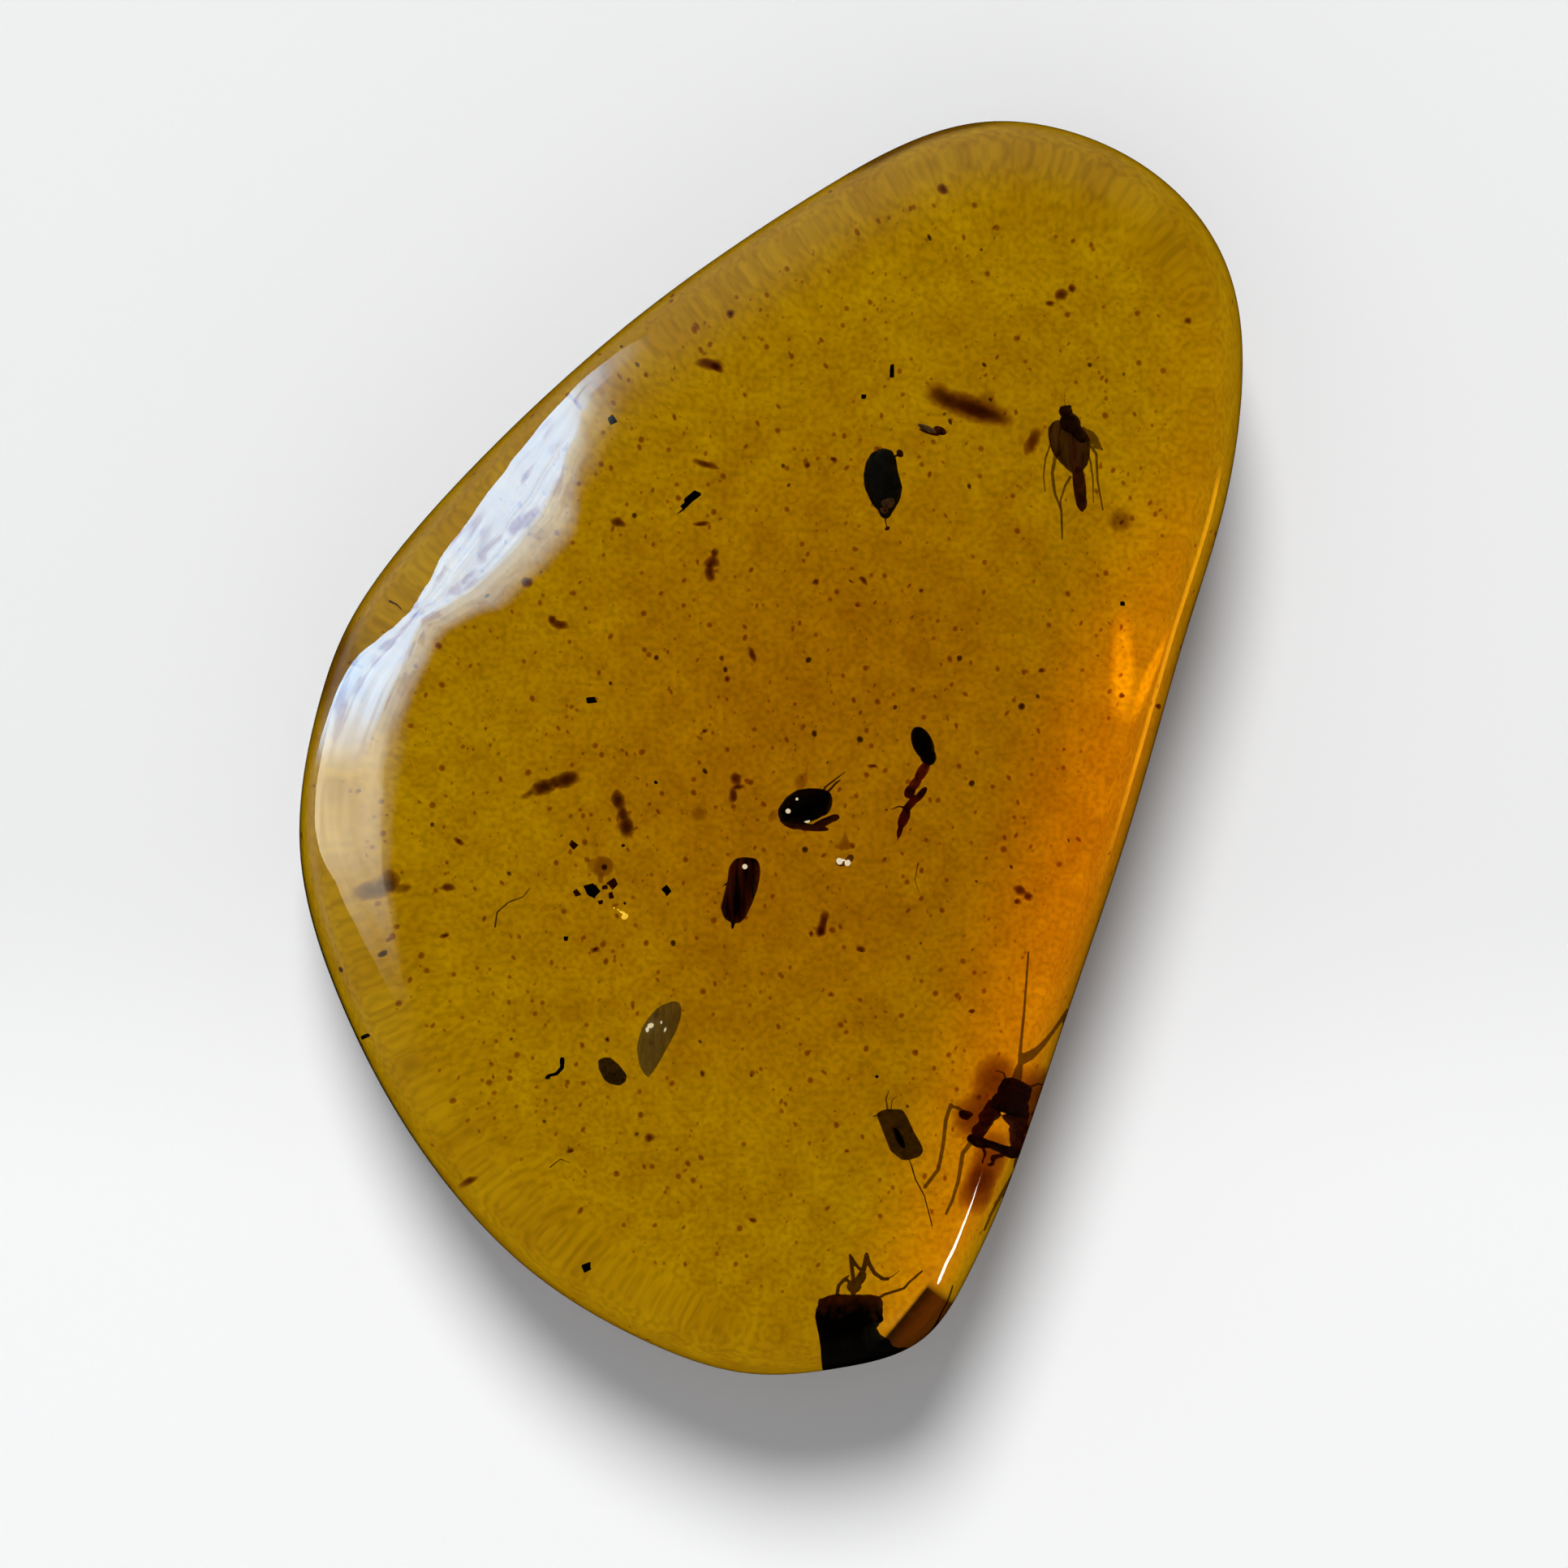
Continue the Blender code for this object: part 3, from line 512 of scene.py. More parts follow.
limb(bm, [(-0.28, 0.20, -0.10), (-0.42, 0.10, -0.12)], 0.06)
inclusion(skinned(bm), "long_beetle_body", long_shell, LONG_PLACE, "black_chitin", "long_beetle")
bm = bmesh.new()
blob(bm, (0.13, 0.59, 0.29), (0.065, 0.065, 0.03), detail=2)
inclusion(bm, "long_beetle_glint", air_with_painted_glint, LONG_PLACE, "husk")


# ---------------------------------------------------------------- slender rove beetle
# A black oval forebody on a narrow red-brown waist and a jointed tail; the light shining through the waist is painted
# into its bright orange colour.
ROVE_PLACE = (3.58, -0.96, 5.0)
bm = bmesh.new()
blob(bm, (0.13, 0.96, 0.0), (0.25, 0.44, 0.22), heading=24, detail=4)
blob(bm, (0.26, 0.66, 0.0), (0.20, 0.24, 0.18), heading=20)
inclusion(skinned(bm), "rove_beetle_forebody", chitin("blue-black cuticle", "080606", "1C1414", 0.4), ROVE_PLACE,
          "black_chitin", "slender_rove_beetle")
waist_painted_glow = chitin("red-brown cuticle painted glowing", "A03408", "F07420", 0.4, mottle=0.3)
bm = bmesh.new()
blob(bm, (0.12, 0.28, 0.0), (0.13, 0.30, 0.11), heading=-32)
blob(bm, (-0.06, -0.02, 0.0), (0.12, 0.22, 0.10), heading=-38)
inclusion(skinned(bm, 0.016), "rove_beetle_waist", waist_painted_glow, ROVE_PLACE, "brown_chitin", "slender_rove_beetle")
tail_shell = chitin("dark red cuticle", "5A1208", "B44024", 0.4)
bm = bmesh.new()
blob(bm, (-0.18, -0.20, 0.0), (0.13, 0.18, 0.10), heading=-30)
blob(bm, (0.08, -0.28, 0.03), (0.09, 0.24, 0.08), heading=-38)
blob(bm, (-0.16, -0.50, 0.02), (0.10, 0.30, 0.08), heading=-42)
blob(bm, (-0.32, -0.84, 0.0), (0.13, 0.28, 0.10), heading=-22)
blob(bm, (-0.42, -1.14, 0.0), (0.07, 0.20, 0.06), heading=-14)
limb(bm, [(-0.25, -0.60, 0.0), (-0.45, -0.56, 0.0), (-0.63, -0.64, 0.0)], 0.06)
limb(bm, [(-0.40, -1.10, 0.0), (-0.48, -1.40, 0.0)], 0.06)
inclusion(skinned(bm, 0.016), "rove_beetle_tail", tail_shell, ROVE_PLACE, "brown_chitin", "slender_rove_beetle")


# ---------------------------------------------------------------- bark louse
# A flat, soft-bodied louse. The resin has cleared its skin, so the gut shows as a dark core.
LOUSE_PLACE = (3.18, -9.56, 3.6)
LOUSE_OUTLINE = [
    (-0.62, 0.53), (-0.48, 0.62), (-0.35, 0.65), (0.04, 0.64), (0.16, 0.44), (0.30, 0.12), (0.54, -0.30),
    (0.55, -0.42), (0.46, -0.54), (0.20, -0.62), (0.02, -0.62), (-0.26, -0.40), (-0.45, 0.09), (-0.55, 0.34),
]
louse_skin = chitin("cleared brown cuticle", "5A3A1C", "A88C70", 0.5, mottle=0.3, alpha=0.80)
bm = bmesh.new()
body_within(bm, LOUSE_OUTLINE, 0.16)
inclusion(skinned(bm, rounds=14), "louse_body", louse_skin, LOUSE_PLACE, "brown_chitin", "bark_louse")
bm = bmesh.new()
blob(bm, (-0.05, -0.06, 0.12), (0.09, 0.30, 0.08), heading=27)
blob(bm, (-0.08, -0.02, 0.16), (0.05, 0.16, 0.06), heading=27)
inclusion(skinned(bm, 0.016), "louse_gut", jet, LOUSE_PLACE, "brown_chitin", "bark_louse")
bm = bmesh.new()
limb(bm, [(-0.33, 0.62, 0.0), (-0.37, 0.90, 0.03), (-0.30, 1.09, 0.05)], 0.06)
limb(bm, [(-0.25, 0.60, 0.0), (-0.22, 0.86, 0.03), (-0.08, 0.98, 0.05)], 0.04)
limb(bm, [(-0.52, 0.50, 0.0), (-0.68, 0.46, 0.0)], 0.07)
limb(bm, [(0.16, -0.50, 0.0), (0.26, -0.75, 0.0), (0.36, -1.08, 0.0), (0.40, -1.14, 0.0)], 0.045)
inclusion(skinned(bm, 0.012, 1), "louse_legs", thin_shell, LOUSE_PLACE, "brown_chitin", "bark_louse")


# ---------------------------------------------------------------- leggy spider
# A long-legged spider pressed against the edge, half decayed: the body is a dark knot, and the resin
# round it is stained red-brown where its juices seeped out before the resin set.
SPIDER_PLACE = (5.40, -9.10, 3.6)
spider_shell = chitin("decayed spider cuticle", "3A1804", "6E3606", 0.55, mottle=0.25)
rotted_shell = chitin("rotted red-brown cuticle", "6A2408", "B85A10", 0.6, mottle=0.2)
bm = bmesh.new()
blob(bm, (0.42, 0.62, 0.0), (0.26, 0.34, 0.20), heading=-24)
blob(bm, (0.22, 0.32, 0.0), (0.22, 0.22, 0.18), heading=-50)
blob(bm, (-0.30, -0.66, -0.02), (0.24, 0.12, 0.12), heading=-12)
limb(bm, [(-0.52, -0.54, 0.0), (-0.10, -0.68, 0.0), (0.40, -0.74, 0.0)], 0.20, tip=0.8)
inclusion(roughened(skinned(bm, 0.02, 6), 0.07, 0.22), "spider_body", spider_shell, SPIDER_PLACE, "brown_chitin", "leggy_spider")
bm = bmesh.new()
blob(bm, (-0.06, 0.04, -0.04), (0.24, 0.34, 0.16), heading=-20)
blob(bm, (-0.26, -0.34, -0.04), (0.20, 0.32, 0.14), heading=-30)
limb(bm, [(0.30, 0.24, 0.0), (0.42, -0.14, 0.0), (0.52, -0.40, 0.0)], 0.16)
limb(bm, [(-0.14, -0.64, 0.0), (-0.16, -0.90, 0.0), (-0.20, -1.16, -0.04)], 0.14)
blob(bm, (-0.64, 0.04, 0.0), (0.20, 0.13, 0.08), heading=-20)
inclusion(roughened(skinned(bm, 0.02, 6), 0.07, 0.20), "spider_rotted_parts", rotted_shell, SPIDER_PLACE,
          "brown_chitin", "leggy_spider")
bm = bmesh.new()
limb(bm, [(-0.60, 0.06, 0.0), (-0.82, 0.20, 0.05), (-1.02, 0.26, 0.1)], 0.10, tip=0.8)
limb(bm, [(-1.00, 0.28, 0.1), (-1.12, -0.08, 0.05), (-1.18, -0.66, 0.0), (-1.30, -1.30, 0.0), (-1.63, -1.74, -0.1)],
     0.11, tip=0.9)
limb(bm, [(-0.46, -0.60, 0.0), (-0.70, -0.92, 0.0), (-0.80, -1.58, 0.0), (-0.94, -2.06, 0.0), (-1.10, -2.40, 0.0)],
     0.13, tip=0.6)
limb(bm, [(0.48, 0.80, 0.1), (0.68, 1.30, 0.2), (0.80, 2.54, 0.2), (0.90, 4.02, 0.1)], 0.10, tip=0.6)
limb(bm, [(0.40, 0.80, 0.1), (0.30, 1.06, 0.15), (0.10, 1.12, 0.1)], 0.08)
inclusion(skinned(bm, 0.02, 1), "spider_legs", thin_shell, SPIDER_PLACE, "brown_chitin", "leggy_spider")
stain = stained_resin("stained resin round the spider", "A00000", 3000.0)
for name, centre, radii, heading in (
    ("spider_stain_upper", (0.06, 0.84, -0.3), (0.62, 0.80, 0.34), -20),
    ("spider_stain_left", (-0.44, 0.00, -0.3), (0.56, 0.66, 0.34), -30),
    ("spider_stain_middle", (-0.10, -1.10, -0.3), (0.44, 0.90, 0.34), -20),
    ("spider_stain_lower", (-0.40, -1.80, -0.3), (0.40, 0.66, 0.34), -24),
):
    bm = bmesh.new()
    blob(bm, centre, radii, heading=heading, detail=4)
    inclusion(feathered(bm, radii[2], centre[2]), name, stain, SPIDER_PLACE, "brown_chitin")


# ---------------------------------------------------------------- edge beetle
# A stout beetle at the lower edge, black where it is thick and brown at the front, with its legs raised.
EDGE_PLACE = (1.98, -14.05, 3.4)
EDGE_OUTLINE = [
    (-0.77, 0.46), (-0.56, 0.54), (-0.30, 0.60), (0.10, 0.56), (0.58, 0.56), (0.78, 0.36), (0.80, 0.10),
    (0.84, -0.06), (0.62, -0.26), (0.36, -0.42), (0.06, -0.54), (-0.34, -0.62), (-0.56, -0.60), (-0.70, -0.48),
    (-0.78, -0.30), (-0.86, 0.02), (-0.82, 0.26),
]
edge_shell, tree = empty_material("thick beetle cuticle")
place = add(tree, "ShaderNodeTexCoord")
cloud = add(tree, "ShaderNodeTexNoise", {"Scale": 1 / (0.30 * MM), "Detail": 3.0},
            {"Vector": place.outputs["Object"]})
split = add(tree, "ShaderNodeSeparateXYZ", links={"Vector": place.outputs["Object"]})
front = add(tree, "ShaderNodeMapRange", {
    "From Min": (EDGE_PLACE[1] - 0.10) * MM, "From Max": (EDGE_PLACE[1] + 0.55) * MM,
    "To Min": -0.30, "To Max": 0.25,
}, {"Value": split.outputs["Y"]})
mottle = add(tree, "ShaderNodeMath", links={0: front.outputs["Result"], 1: cloud.outputs["Fac"]})
tone = add(tree, "ShaderNodeValToRGB", links={"Fac": mottle.outputs[0]})
tone.color_ramp.elements[0].position, tone.color_ramp.elements[0].color = 0.34, linear("060302")
tone.color_ramp.elements[1].position, tone.color_ramp.elements[1].color = 0.85, linear("A8701C")
pit = add(tree, "ShaderNodeTexVoronoi", {"Scale": 1 / (0.07 * MM)}, {"Vector": place.outputs["Object"]})
bump = add(tree, "ShaderNodeBump", {"Strength": 0.6, "Distance": 0.006 * MM}, {"Height": pit.outputs["Distance"]})
shader = add(tree, "ShaderNodeBsdfPrincipled", {"Roughness": 0.6, "Specular IOR Level": 0.12},
             {"Base Color": tone.outputs["Color"], "Normal": bump.outputs["Normal"]})
add(tree, "ShaderNodeOutputMaterial", links={"Surface": shader.outputs[0]})
bm = bmesh.new()
body_within(bm, EDGE_OUTLINE, 0.42)
blob(bm, (-0.10, 0.30, 0.05), (0.50, 0.28, 0.30))
blob(bm, (-0.60, 0.30, 0.05), (0.18, 0.20, 0.20))
blob(bm, (0.60, 0.34, 0.05), (0.20, 0.22, 0.20))
inclusion(roughened(skinned(bm, 0.024, 4), 0.04, 0.16), "edge_beetle_body", edge_shell, EDGE_PLACE, "black_chitin", "edge_beetle")
leg_shell = chitin("brown beetle leg", "843C0C", "C47418", 0.5, mottle=0.3, alpha=0.72)
bm = bmesh.new()
blob(bm, (0.10, 0.78, 0.12), (0.18, 0.16, 0.12))
blob(bm, (0.26, 0.98, 0.12), (0.12, 0.20, 0.09), heading=-30)
limb(bm, [(0.08, 0.60, 0.1), (0.08, 1.00, 0.2), (0.00, 1.56, 0.2)], 0.14, tip=0.6)
limb(bm, [(0.00, 1.54, 0.2), (0.16, 1.30, 0.2), (0.32, 1.12, 0.15), (0.30, 0.90, 0.1)], 0.09, tip=0.9)
limb(bm, [(0.14, 0.80, 0.1), (0.34, 1.22, 0.2), (0.40, 1.58, 0.2)], 0.15, tip=0.7)
limb(bm, [(0.40, 1.56, 0.2), (0.45, 1.36, 0.15), (0.60, 1.10, 0.1), (0.80, 0.96, 0.1), (0.92, 0.96, 0.1)], 0.12,
     tip=0.8)
limb(bm, [(-0.32, 0.56, 0.1), (-0.28, 0.80, 0.15), (-0.12, 0.98, 0.15), (0.06, 0.84, 0.1)], 0.10, tip=0.9)
limb(bm, [(-0.12, 0.98, 0.15), (-0.02, 1.06, 0.15)], 0.08)
limb(bm, [(0.60, 0.42, 0.0), (0.84, 0.58, 0.1), (1.30, 0.72, 0.1), (1.44, 0.88, 0.1), (1.74, 1.14, 0.1)], 0.085,
     tip=0.7)
limb(bm, [(0.88, 0.96, 0.1), (1.02, 1.02, 0.1), (1.20, 1.16, 0.1)], 0.05)
inclusion(skinned(bm, 0.02, 1), "edge_beetle_legs", leg_shell, EDGE_PLACE, "brown_chitin", "edge_beetle")


# ---------------------------------------------------------------- bark splinter and chip
# Splinters of dark bark, soaked through by the resin, so that their outlines are soft.
bark_halo = stained_resin("resin stained by bark", "9A0000", 4600.0)
bark_core = stained_resin("soaked bark", "880000", 5000.0)
SPLINTER_PLACE = (5.06, 8.18, 2.6)
bm = bmesh.new()
blob(bm, (-0.10, 0.06, 0.0), (0.36, 1.20, 0.30), heading=72, detail=4)
blob(bm, (-0.86, 0.36, 0.0), (0.34, 0.36, 0.24), heading=20)
blob(bm, (0.24, 0.22, 0.0), (0.34, 0.26, 0.20), heading=40)
inclusion(feathered(skinned(bm, 0.03, 12), 0.30), "bark_splinter_halo", bark_halo, SPLINTER_PLACE, "bark",
          "bark_splinter")
bm = bmesh.new()
blob(bm, (-0.72, 0.28, 0.0), (0.22, 0.42, 0.16), heading=60)
blob(bm, (0.10, -0.04, 0.0), (0.18, 0.86, 0.16), heading=72)
inclusion(feathered(skinned(bm, 0.03, 12), 0.18), "bark_splinter_core", bark_core, SPLINTER_PLACE, "bark",
          "bark_splinter")
bm = bmesh.new()
blob(bm, (0.0, 0.0, 0.0), (0.18, 0.40, 0.13), heading=-26, detail=4)
inclusion(feathered(bm, 0.13), "bark_chip_flake", stained_resin("resin stained by a chip", "A00000", 9000.0),
          (6.41, 7.38, 3.6), "bark", "bark_chip")


# ---------------------------------------------------------------- grey sliver
# A sliver of pale husk, silvery along one side where air clings to it and dark along the other.
SLIVER_PLACE = (3.96, 7.57, 5.6)
silver = chitin("silvery husk", "8A8490", "ECE6F6", 0.4, mottle=0.12, pits=0.04)
shade = chitin("dark side of the sliver", "5A3014", "B06C34", 0.6, mottle=0.15)
bm = bmesh.new()
blob(bm, (-0.13, 0.03, 0.02), (0.07, 0.24, 0.05), heading=66)
inclusion(bm, "sliver_bright_side", silver, SLIVER_PLACE, "husk", "grey_sliver")
bm = bmesh.new()
blob(bm, (0.18, -0.02, 0.0), (0.10, 0.17, 0.06), heading=66)
blob(bm, (-0.08, -0.06, -0.02), (0.05, 0.26, 0.04), heading=72)
inclusion(skinned(bm, 0.012), "sliver_dark_side", shade, SLIVER_PLACE, "husk", "grey_sliver")


# ---------------------------------------------------------------- seed husk and small seed
# A papery pointed husk and a small seed. The husk is dry and pale, with a few spots where air shows white, painted
# bright as highlights.
HUSK_PLACE = (-2.61, -7.19, 5.2)
HUSK_OUTLINE = [
    (0.30, 0.96), (0.44, 0.96), (0.52, 0.80), (0.50, 0.56), (0.39, 0.24), (0.13, -0.24), (-0.08, -0.62),
    (-0.28, -0.92), (-0.42, -0.80), (-0.52, -0.60), (-0.58, -0.20), (-0.52, 0.10), (-0.43, 0.34), (-0.26, 0.60),
    (-0.04, 0.83),
]
husk_skin, tree = empty_material("papery seed husk")
place = add(tree, "ShaderNodeTexCoord")
fibres = add(tree, "ShaderNodeMapping", {
    "Rotation": (0, 0, math.radians(24)), "Scale": (1 / (0.08 * MM), 1 / (0.5 * MM), 1 / (0.2 * MM)),
}, {"Vector": place.outputs["Object"]})
grain = add(tree, "ShaderNodeTexNoise", {"Scale": 1.0, "Detail": 3.0}, {"Vector": fibres.outputs[0]})
tone = add(tree, "ShaderNodeValToRGB", links={"Fac": grain.outputs["Fac"]})
tone.color_ramp.elements[0].position, tone.color_ramp.elements[0].color = 0.34, linear("7E8494")
tone.color_ramp.elements[1].position, tone.color_ramp.elements[1].color = 0.70, linear("D6DCE6")
bump = add(tree, "ShaderNodeBump", {"Strength": 0.5, "Distance": 0.01 * MM}, {"Height": grain.outputs["Fac"]})
shader = add(tree, "ShaderNodeBsdfPrincipled", {"Roughness": 0.7, "Specular IOR Level": 0.2, "Alpha": 0.62},
             {"Base Color": tone.outputs["Color"], "Normal": bump.outputs["Normal"]})
add(tree, "ShaderNodeOutputMaterial", links={"Surface": shader.outputs[0]})
bm = bmesh.new()
body_within(bm, HUSK_OUTLINE, 0.12)
inclusion(skinned(bm), "seed_husk_shell", husk_skin, HUSK_PLACE, "husk", "seed_husk")
bm = bmesh.new()
blob(bm, (-0.24, 0.36, 0.10), (0.08, 0.06, 0.02), heading=20, detail=2)
blob(bm, (-0.32, 0.26, 0.09), (0.04, 0.06, 0.02), detail=2)
blob(bm, (0.11, 0.26, 0.10), (0.03, 0.07, 0.02), heading=-20, detail=2)
blob(bm, (0.02, 0.44, 0.11), (0.02, 0.04, 0.015), detail=2)
inclusion(bm, "seed_husk_glint_spots", air_with_painted_glint, HUSK_PLACE, "husk")
SEED_PLACE = (-3.77, -7.99, 5.0)
SEED_OUTLINE = [
    (-0.36, 0.31), (-0.22, 0.38), (-0.06, 0.38), (0.14, 0.22), (0.34, -0.04), (0.32, -0.20), (0.16, -0.31),
    (-0.06, -0.27), (-0.20, -0.18), (-0.34, 0.10),
]
seed_coat = chitin("seed coat", "3A2A2E", "8C727A", 0.6, mottle=0.35, alpha=0.82)
bm = bmesh.new()
body_within(bm, SEED_OUTLINE, 0.15)
inclusion(skinned(bm), "small_seed_body", seed_coat, SEED_PLACE, "husk", "small_seed")


# ---------------------------------------------------------------- twigs and grain
# Bits of twig and a round grain lying deep in the stone, soaked with resin.
twig_stain = stained_resin("resin-soaked twig", "8C0000", 10500.0)
for node, place, lumps in (
    ("twig_forked", (-5.17, -0.97, 3.0), (
        ((-0.30, -0.10, 0.0), (0.22, 0.36, 0.16), -72), ((0.24, 0.08, 0.0), (0.22, 0.40, 0.16), -70),
        ((-0.04, 0.02, 0.0), (0.17, 0.26, 0.15), -70), ((-0.66, -0.26, 0.0), (0.10, 0.26, 0.12), -58),
    )),
    ("twig_short", (-3.53, -1.73, 3.0), (
        ((-0.12, 0.34, 0.0), (0.19, 0.30, 0.16), 14), ((-0.02, 0.02, 0.0), (0.16, 0.30, 0.15), 14),
        ((0.07, -0.28, 0.0), (0.22, 0.34, 0.16), 14),
    )),
    ("brown_grain", (-1.69, -1.69, 3.6), (((0.0, 0.0, 0.0), (0.24, 0.23, 0.09), 0),)),
):
    bm = bmesh.new()
    for centre, radii, heading in lumps:
        blob(bm, centre, radii, heading=heading)
    inclusion(feathered(skinned(bm), 0.16), node + "_soaked", twig_stain, place, "bark", node)


# ---------------------------------------------------------------- soil crumbs
# Black and brown crumbs of soil under a thin brown disc, and a glassy yellow fleck.
CRUMB_PLACE = (-4.09, -3.53, 5.3)
soil = chitin("black soil", "050302", "140A04", 0.85, mottle=0.1, pits=0.08, pit_depth=0.02)
brown_soil = chitin("brown soil", "4A1E0A", "9C5220", 0.85, mottle=0.1, pits=0.08, pit_depth=0.02)


def crumb(bm, centre, size, heading):
    """An angular grain: a cube skewed and bevelled a little differently each time."""
    made = bmesh.ops.create_cube(bm, size=1.0)["verts"]
    for number, vertex in enumerate(made):
        vertex.co *= 1 + 0.25 * math.sin(5 * number + 9 * centre[0] + 7 * centre[1])
    turn = Matrix.Rotation(math.radians(heading), 4, "Z") @ Matrix.Rotation(math.radians(heading / 2), 4, "X")
    shape = Matrix.Translation(centre) @ turn @ Matrix.Diagonal((*size, 1.0))
    bmesh.ops.transform(bm, verts=made, matrix=shape)


bm = bmesh.new()
crumb(bm, (-0.22, 0.00, 0.0), (0.22, 0.20, 0.18), 20)
crumb(bm, (-0.10, -0.03, 0.02), (0.20, 0.24, 0.18), 40)
crumb(bm, (-0.15, -0.13, 0.0), (0.13, 0.12, 0.12), 65)
inclusion(skinned(bm, 0.012, 5), "soil_crumbs_black", soil, CRUMB_PLACE, "soil", "soil_crumbs")
bm = bmesh.new()
crumb(bm, (0.34, 0.13, 0.0), (0.20, 0.17, 0.14), 38)
crumb(bm, (0.13, 0.06, 0.0), (0.13, 0.10, 0.08), 10)
crumb(bm, (0.28, -0.14, 0.0), (0.11, 0.15, 0.10), 15)
crumb(bm, (-0.55, -0.08, -0.04), (0.13, 0.18, 0.10), 30)
crumb(bm, (-0.64, 1.08, 0.0), (0.14, 0.17, 0.10), 50)
crumb(bm, (0.04, -0.32, -0.05), (0.12, 0.09, 0.06), 20)
crumb(bm, (0.58, 1.06, 0.0), (0.09, 0.08, 0.06), 40)
crumb(bm, (0.62, -0.34, 0.0), (0.06, 0.06, 0.05), 40)
inclusion(skinned(bm, 0.012, 4), "soil_crumbs_brown", brown_soil, CRUMB_PLACE, "soil", "soil_crumbs")
scale_film = stained_resin("thin brown scale", "960000", 9000.0)
bm = bmesh.new()
blob(bm, (0.08, 0.55, -0.2), (0.28, 0.27, 0.07))
blob(bm, (-0.14, 0.58, -0.2), (0.18, 0.17, 0.04))
blob(bm, (0.03, 0.28, -0.15), (0.08, 0.14, 0.06))
inclusion(skinned(bm, 0.016), "brown_scale", scale_film, CRUMB_PLACE, "bark")
# The fleck is yellow resin; its glow is painted light.
yellow_fleck_glow, tree = empty_material("yellow resin fleck with painted glow")
shader = add(tree, "ShaderNodeBsdfPrincipled", {
    "Base Color": linear("FFE27A"), "Roughness": 0.3, "Metallic": 0.3,
    "Emission Color": linear("FFD650"), "Emission Strength": 0.9,
})
add(tree, "ShaderNodeOutputMaterial", links={"Surface": shader.outputs[0]})
bm = bmesh.new()
blob(bm, (0.62, -0.66, 0.0), (0.09, 0.07, 0.04), heading=30, detail=2)
blob(bm, (0.56, -0.56, 0.0), (0.08, 0.03, 0.03), heading=-20, detail=2)
blob(bm, (0.36, -0.45, -0.1), (0.03, 0.02, 0.02), heading=10, detail=1)
blob(bm, (0.46, -0.50, -0.1), (0.04, 0.015, 0.02), heading=-40, detail=1)
inclusion(bm, "yellow_fleck", yellow_fleck_glow, CRUMB_PLACE, "husk")


# ---------------------------------------------------------------- gas bubble and its fragment
# Two joined bubbles of gas, white where they throw the light back, below a three-cornered brown scrap.
BUBBLE_PLACE = (1.81, -2.85, 5.7)
bm = bmesh.new()
blob(bm, (-0.11, 0.00, 0.0), (0.075, 0.085, 0.06), heading=20)
blob(bm, (0.09, -0.04, 0.0), (0.07, 0.08, 0.06), heading=-30)
blob(bm, (-0.02, 0.03, 0.0), (0.05, 0.03, 0.03), heading=0)
inclusion(skinned(bm, 0.012), "gas_bubble", air_with_painted_glint, BUBBLE_PLACE, "husk")
bm = bmesh.new()
blob(bm, (0.14, 0.06, -0.08), (0.09, 0.12, 0.05), heading=-40)
blob(bm, (-0.06, -0.03, -0.10), (0.15, 0.10, 0.05), heading=0)
inclusion(skinned(bm, 0.016), "gas_bubble_shadow", leg_shell, BUBBLE_PLACE, "husk")
SCRAP_OUTLINE = [(0.00, 0.40), (-0.10, 0.16), (-0.30, -0.02), (-0.16, -0.06), (0.02, -0.10), (0.28, -0.02),
                 (0.12, 0.14)]
bm = bmesh.new()
body_within(bm, SCRAP_OUTLINE, 0.05)
inclusion(skinned(bm, 0.016), "brown_scrap", stained_resin("brown scrap", "9D0000", 10500.0),
          (1.83, -2.50, 5.5), "bark")


# ---------------------------------------------------------------- crack and pale patch
# A hair-fine crack runs in from the lower right edge, and a pale patch of painted light glows low in the resin near the
# bottom edge.
bm = bmesh.new()
limb(bm, [(3.44, -10.28, 4.2), (3.54, -10.62, 4.2), (3.76, -11.02, 4.2), (3.96, -11.78, 4.1)], 0.035, tip=0.8)
inclusion(bm, "hair_crack", brown_soil, (0, 0, 0), "soil")
PATCH_MIDDLE = (-0.12, -14.38, 3.0)
PATCH_REACH = (1.15, 0.42, 0.12)
painted_glow_patch, tree = empty_material("pale patch of painted light")
place = add(tree, "ShaderNodeTexCoord")
centred = add(tree, "ShaderNodeMapping", {
    "Location": [-middle / reach for middle, reach in zip(PATCH_MIDDLE, PATCH_REACH)],
    "Scale": [1 / (reach * MM) for reach in PATCH_REACH],
}, {"Vector": place.outputs["Object"]})
away = add(tree, "ShaderNodeVectorMath", links={0: centred.outputs[0]}, operation="LENGTH")
veil = add(tree, "ShaderNodeMapRange", {"From Min": 1.0, "From Max": 0.2, "To Min": 0.0, "To Max": 0.42},
           {"Value": away.outputs["Value"]}, interpolation_type="SMOOTHSTEP")
shader = add(tree, "ShaderNodeBsdfPrincipled", {
    "Base Color": linear("D8C090"), "Roughness": 0.8, "Emission Color": linear("FFF6E0"), "Emission Strength": 0.6,
}, {"Alpha": veil.outputs["Result"]})
add(tree, "ShaderNodeOutputMaterial", links={"Surface": shader.outputs[0]})
bm = bmesh.new()
blob(bm, PATCH_MIDDLE, PATCH_REACH, detail=4)
inclusion(bm, "pale_painted_light_patch", painted_glow_patch, (0, 0, 0), "husk")


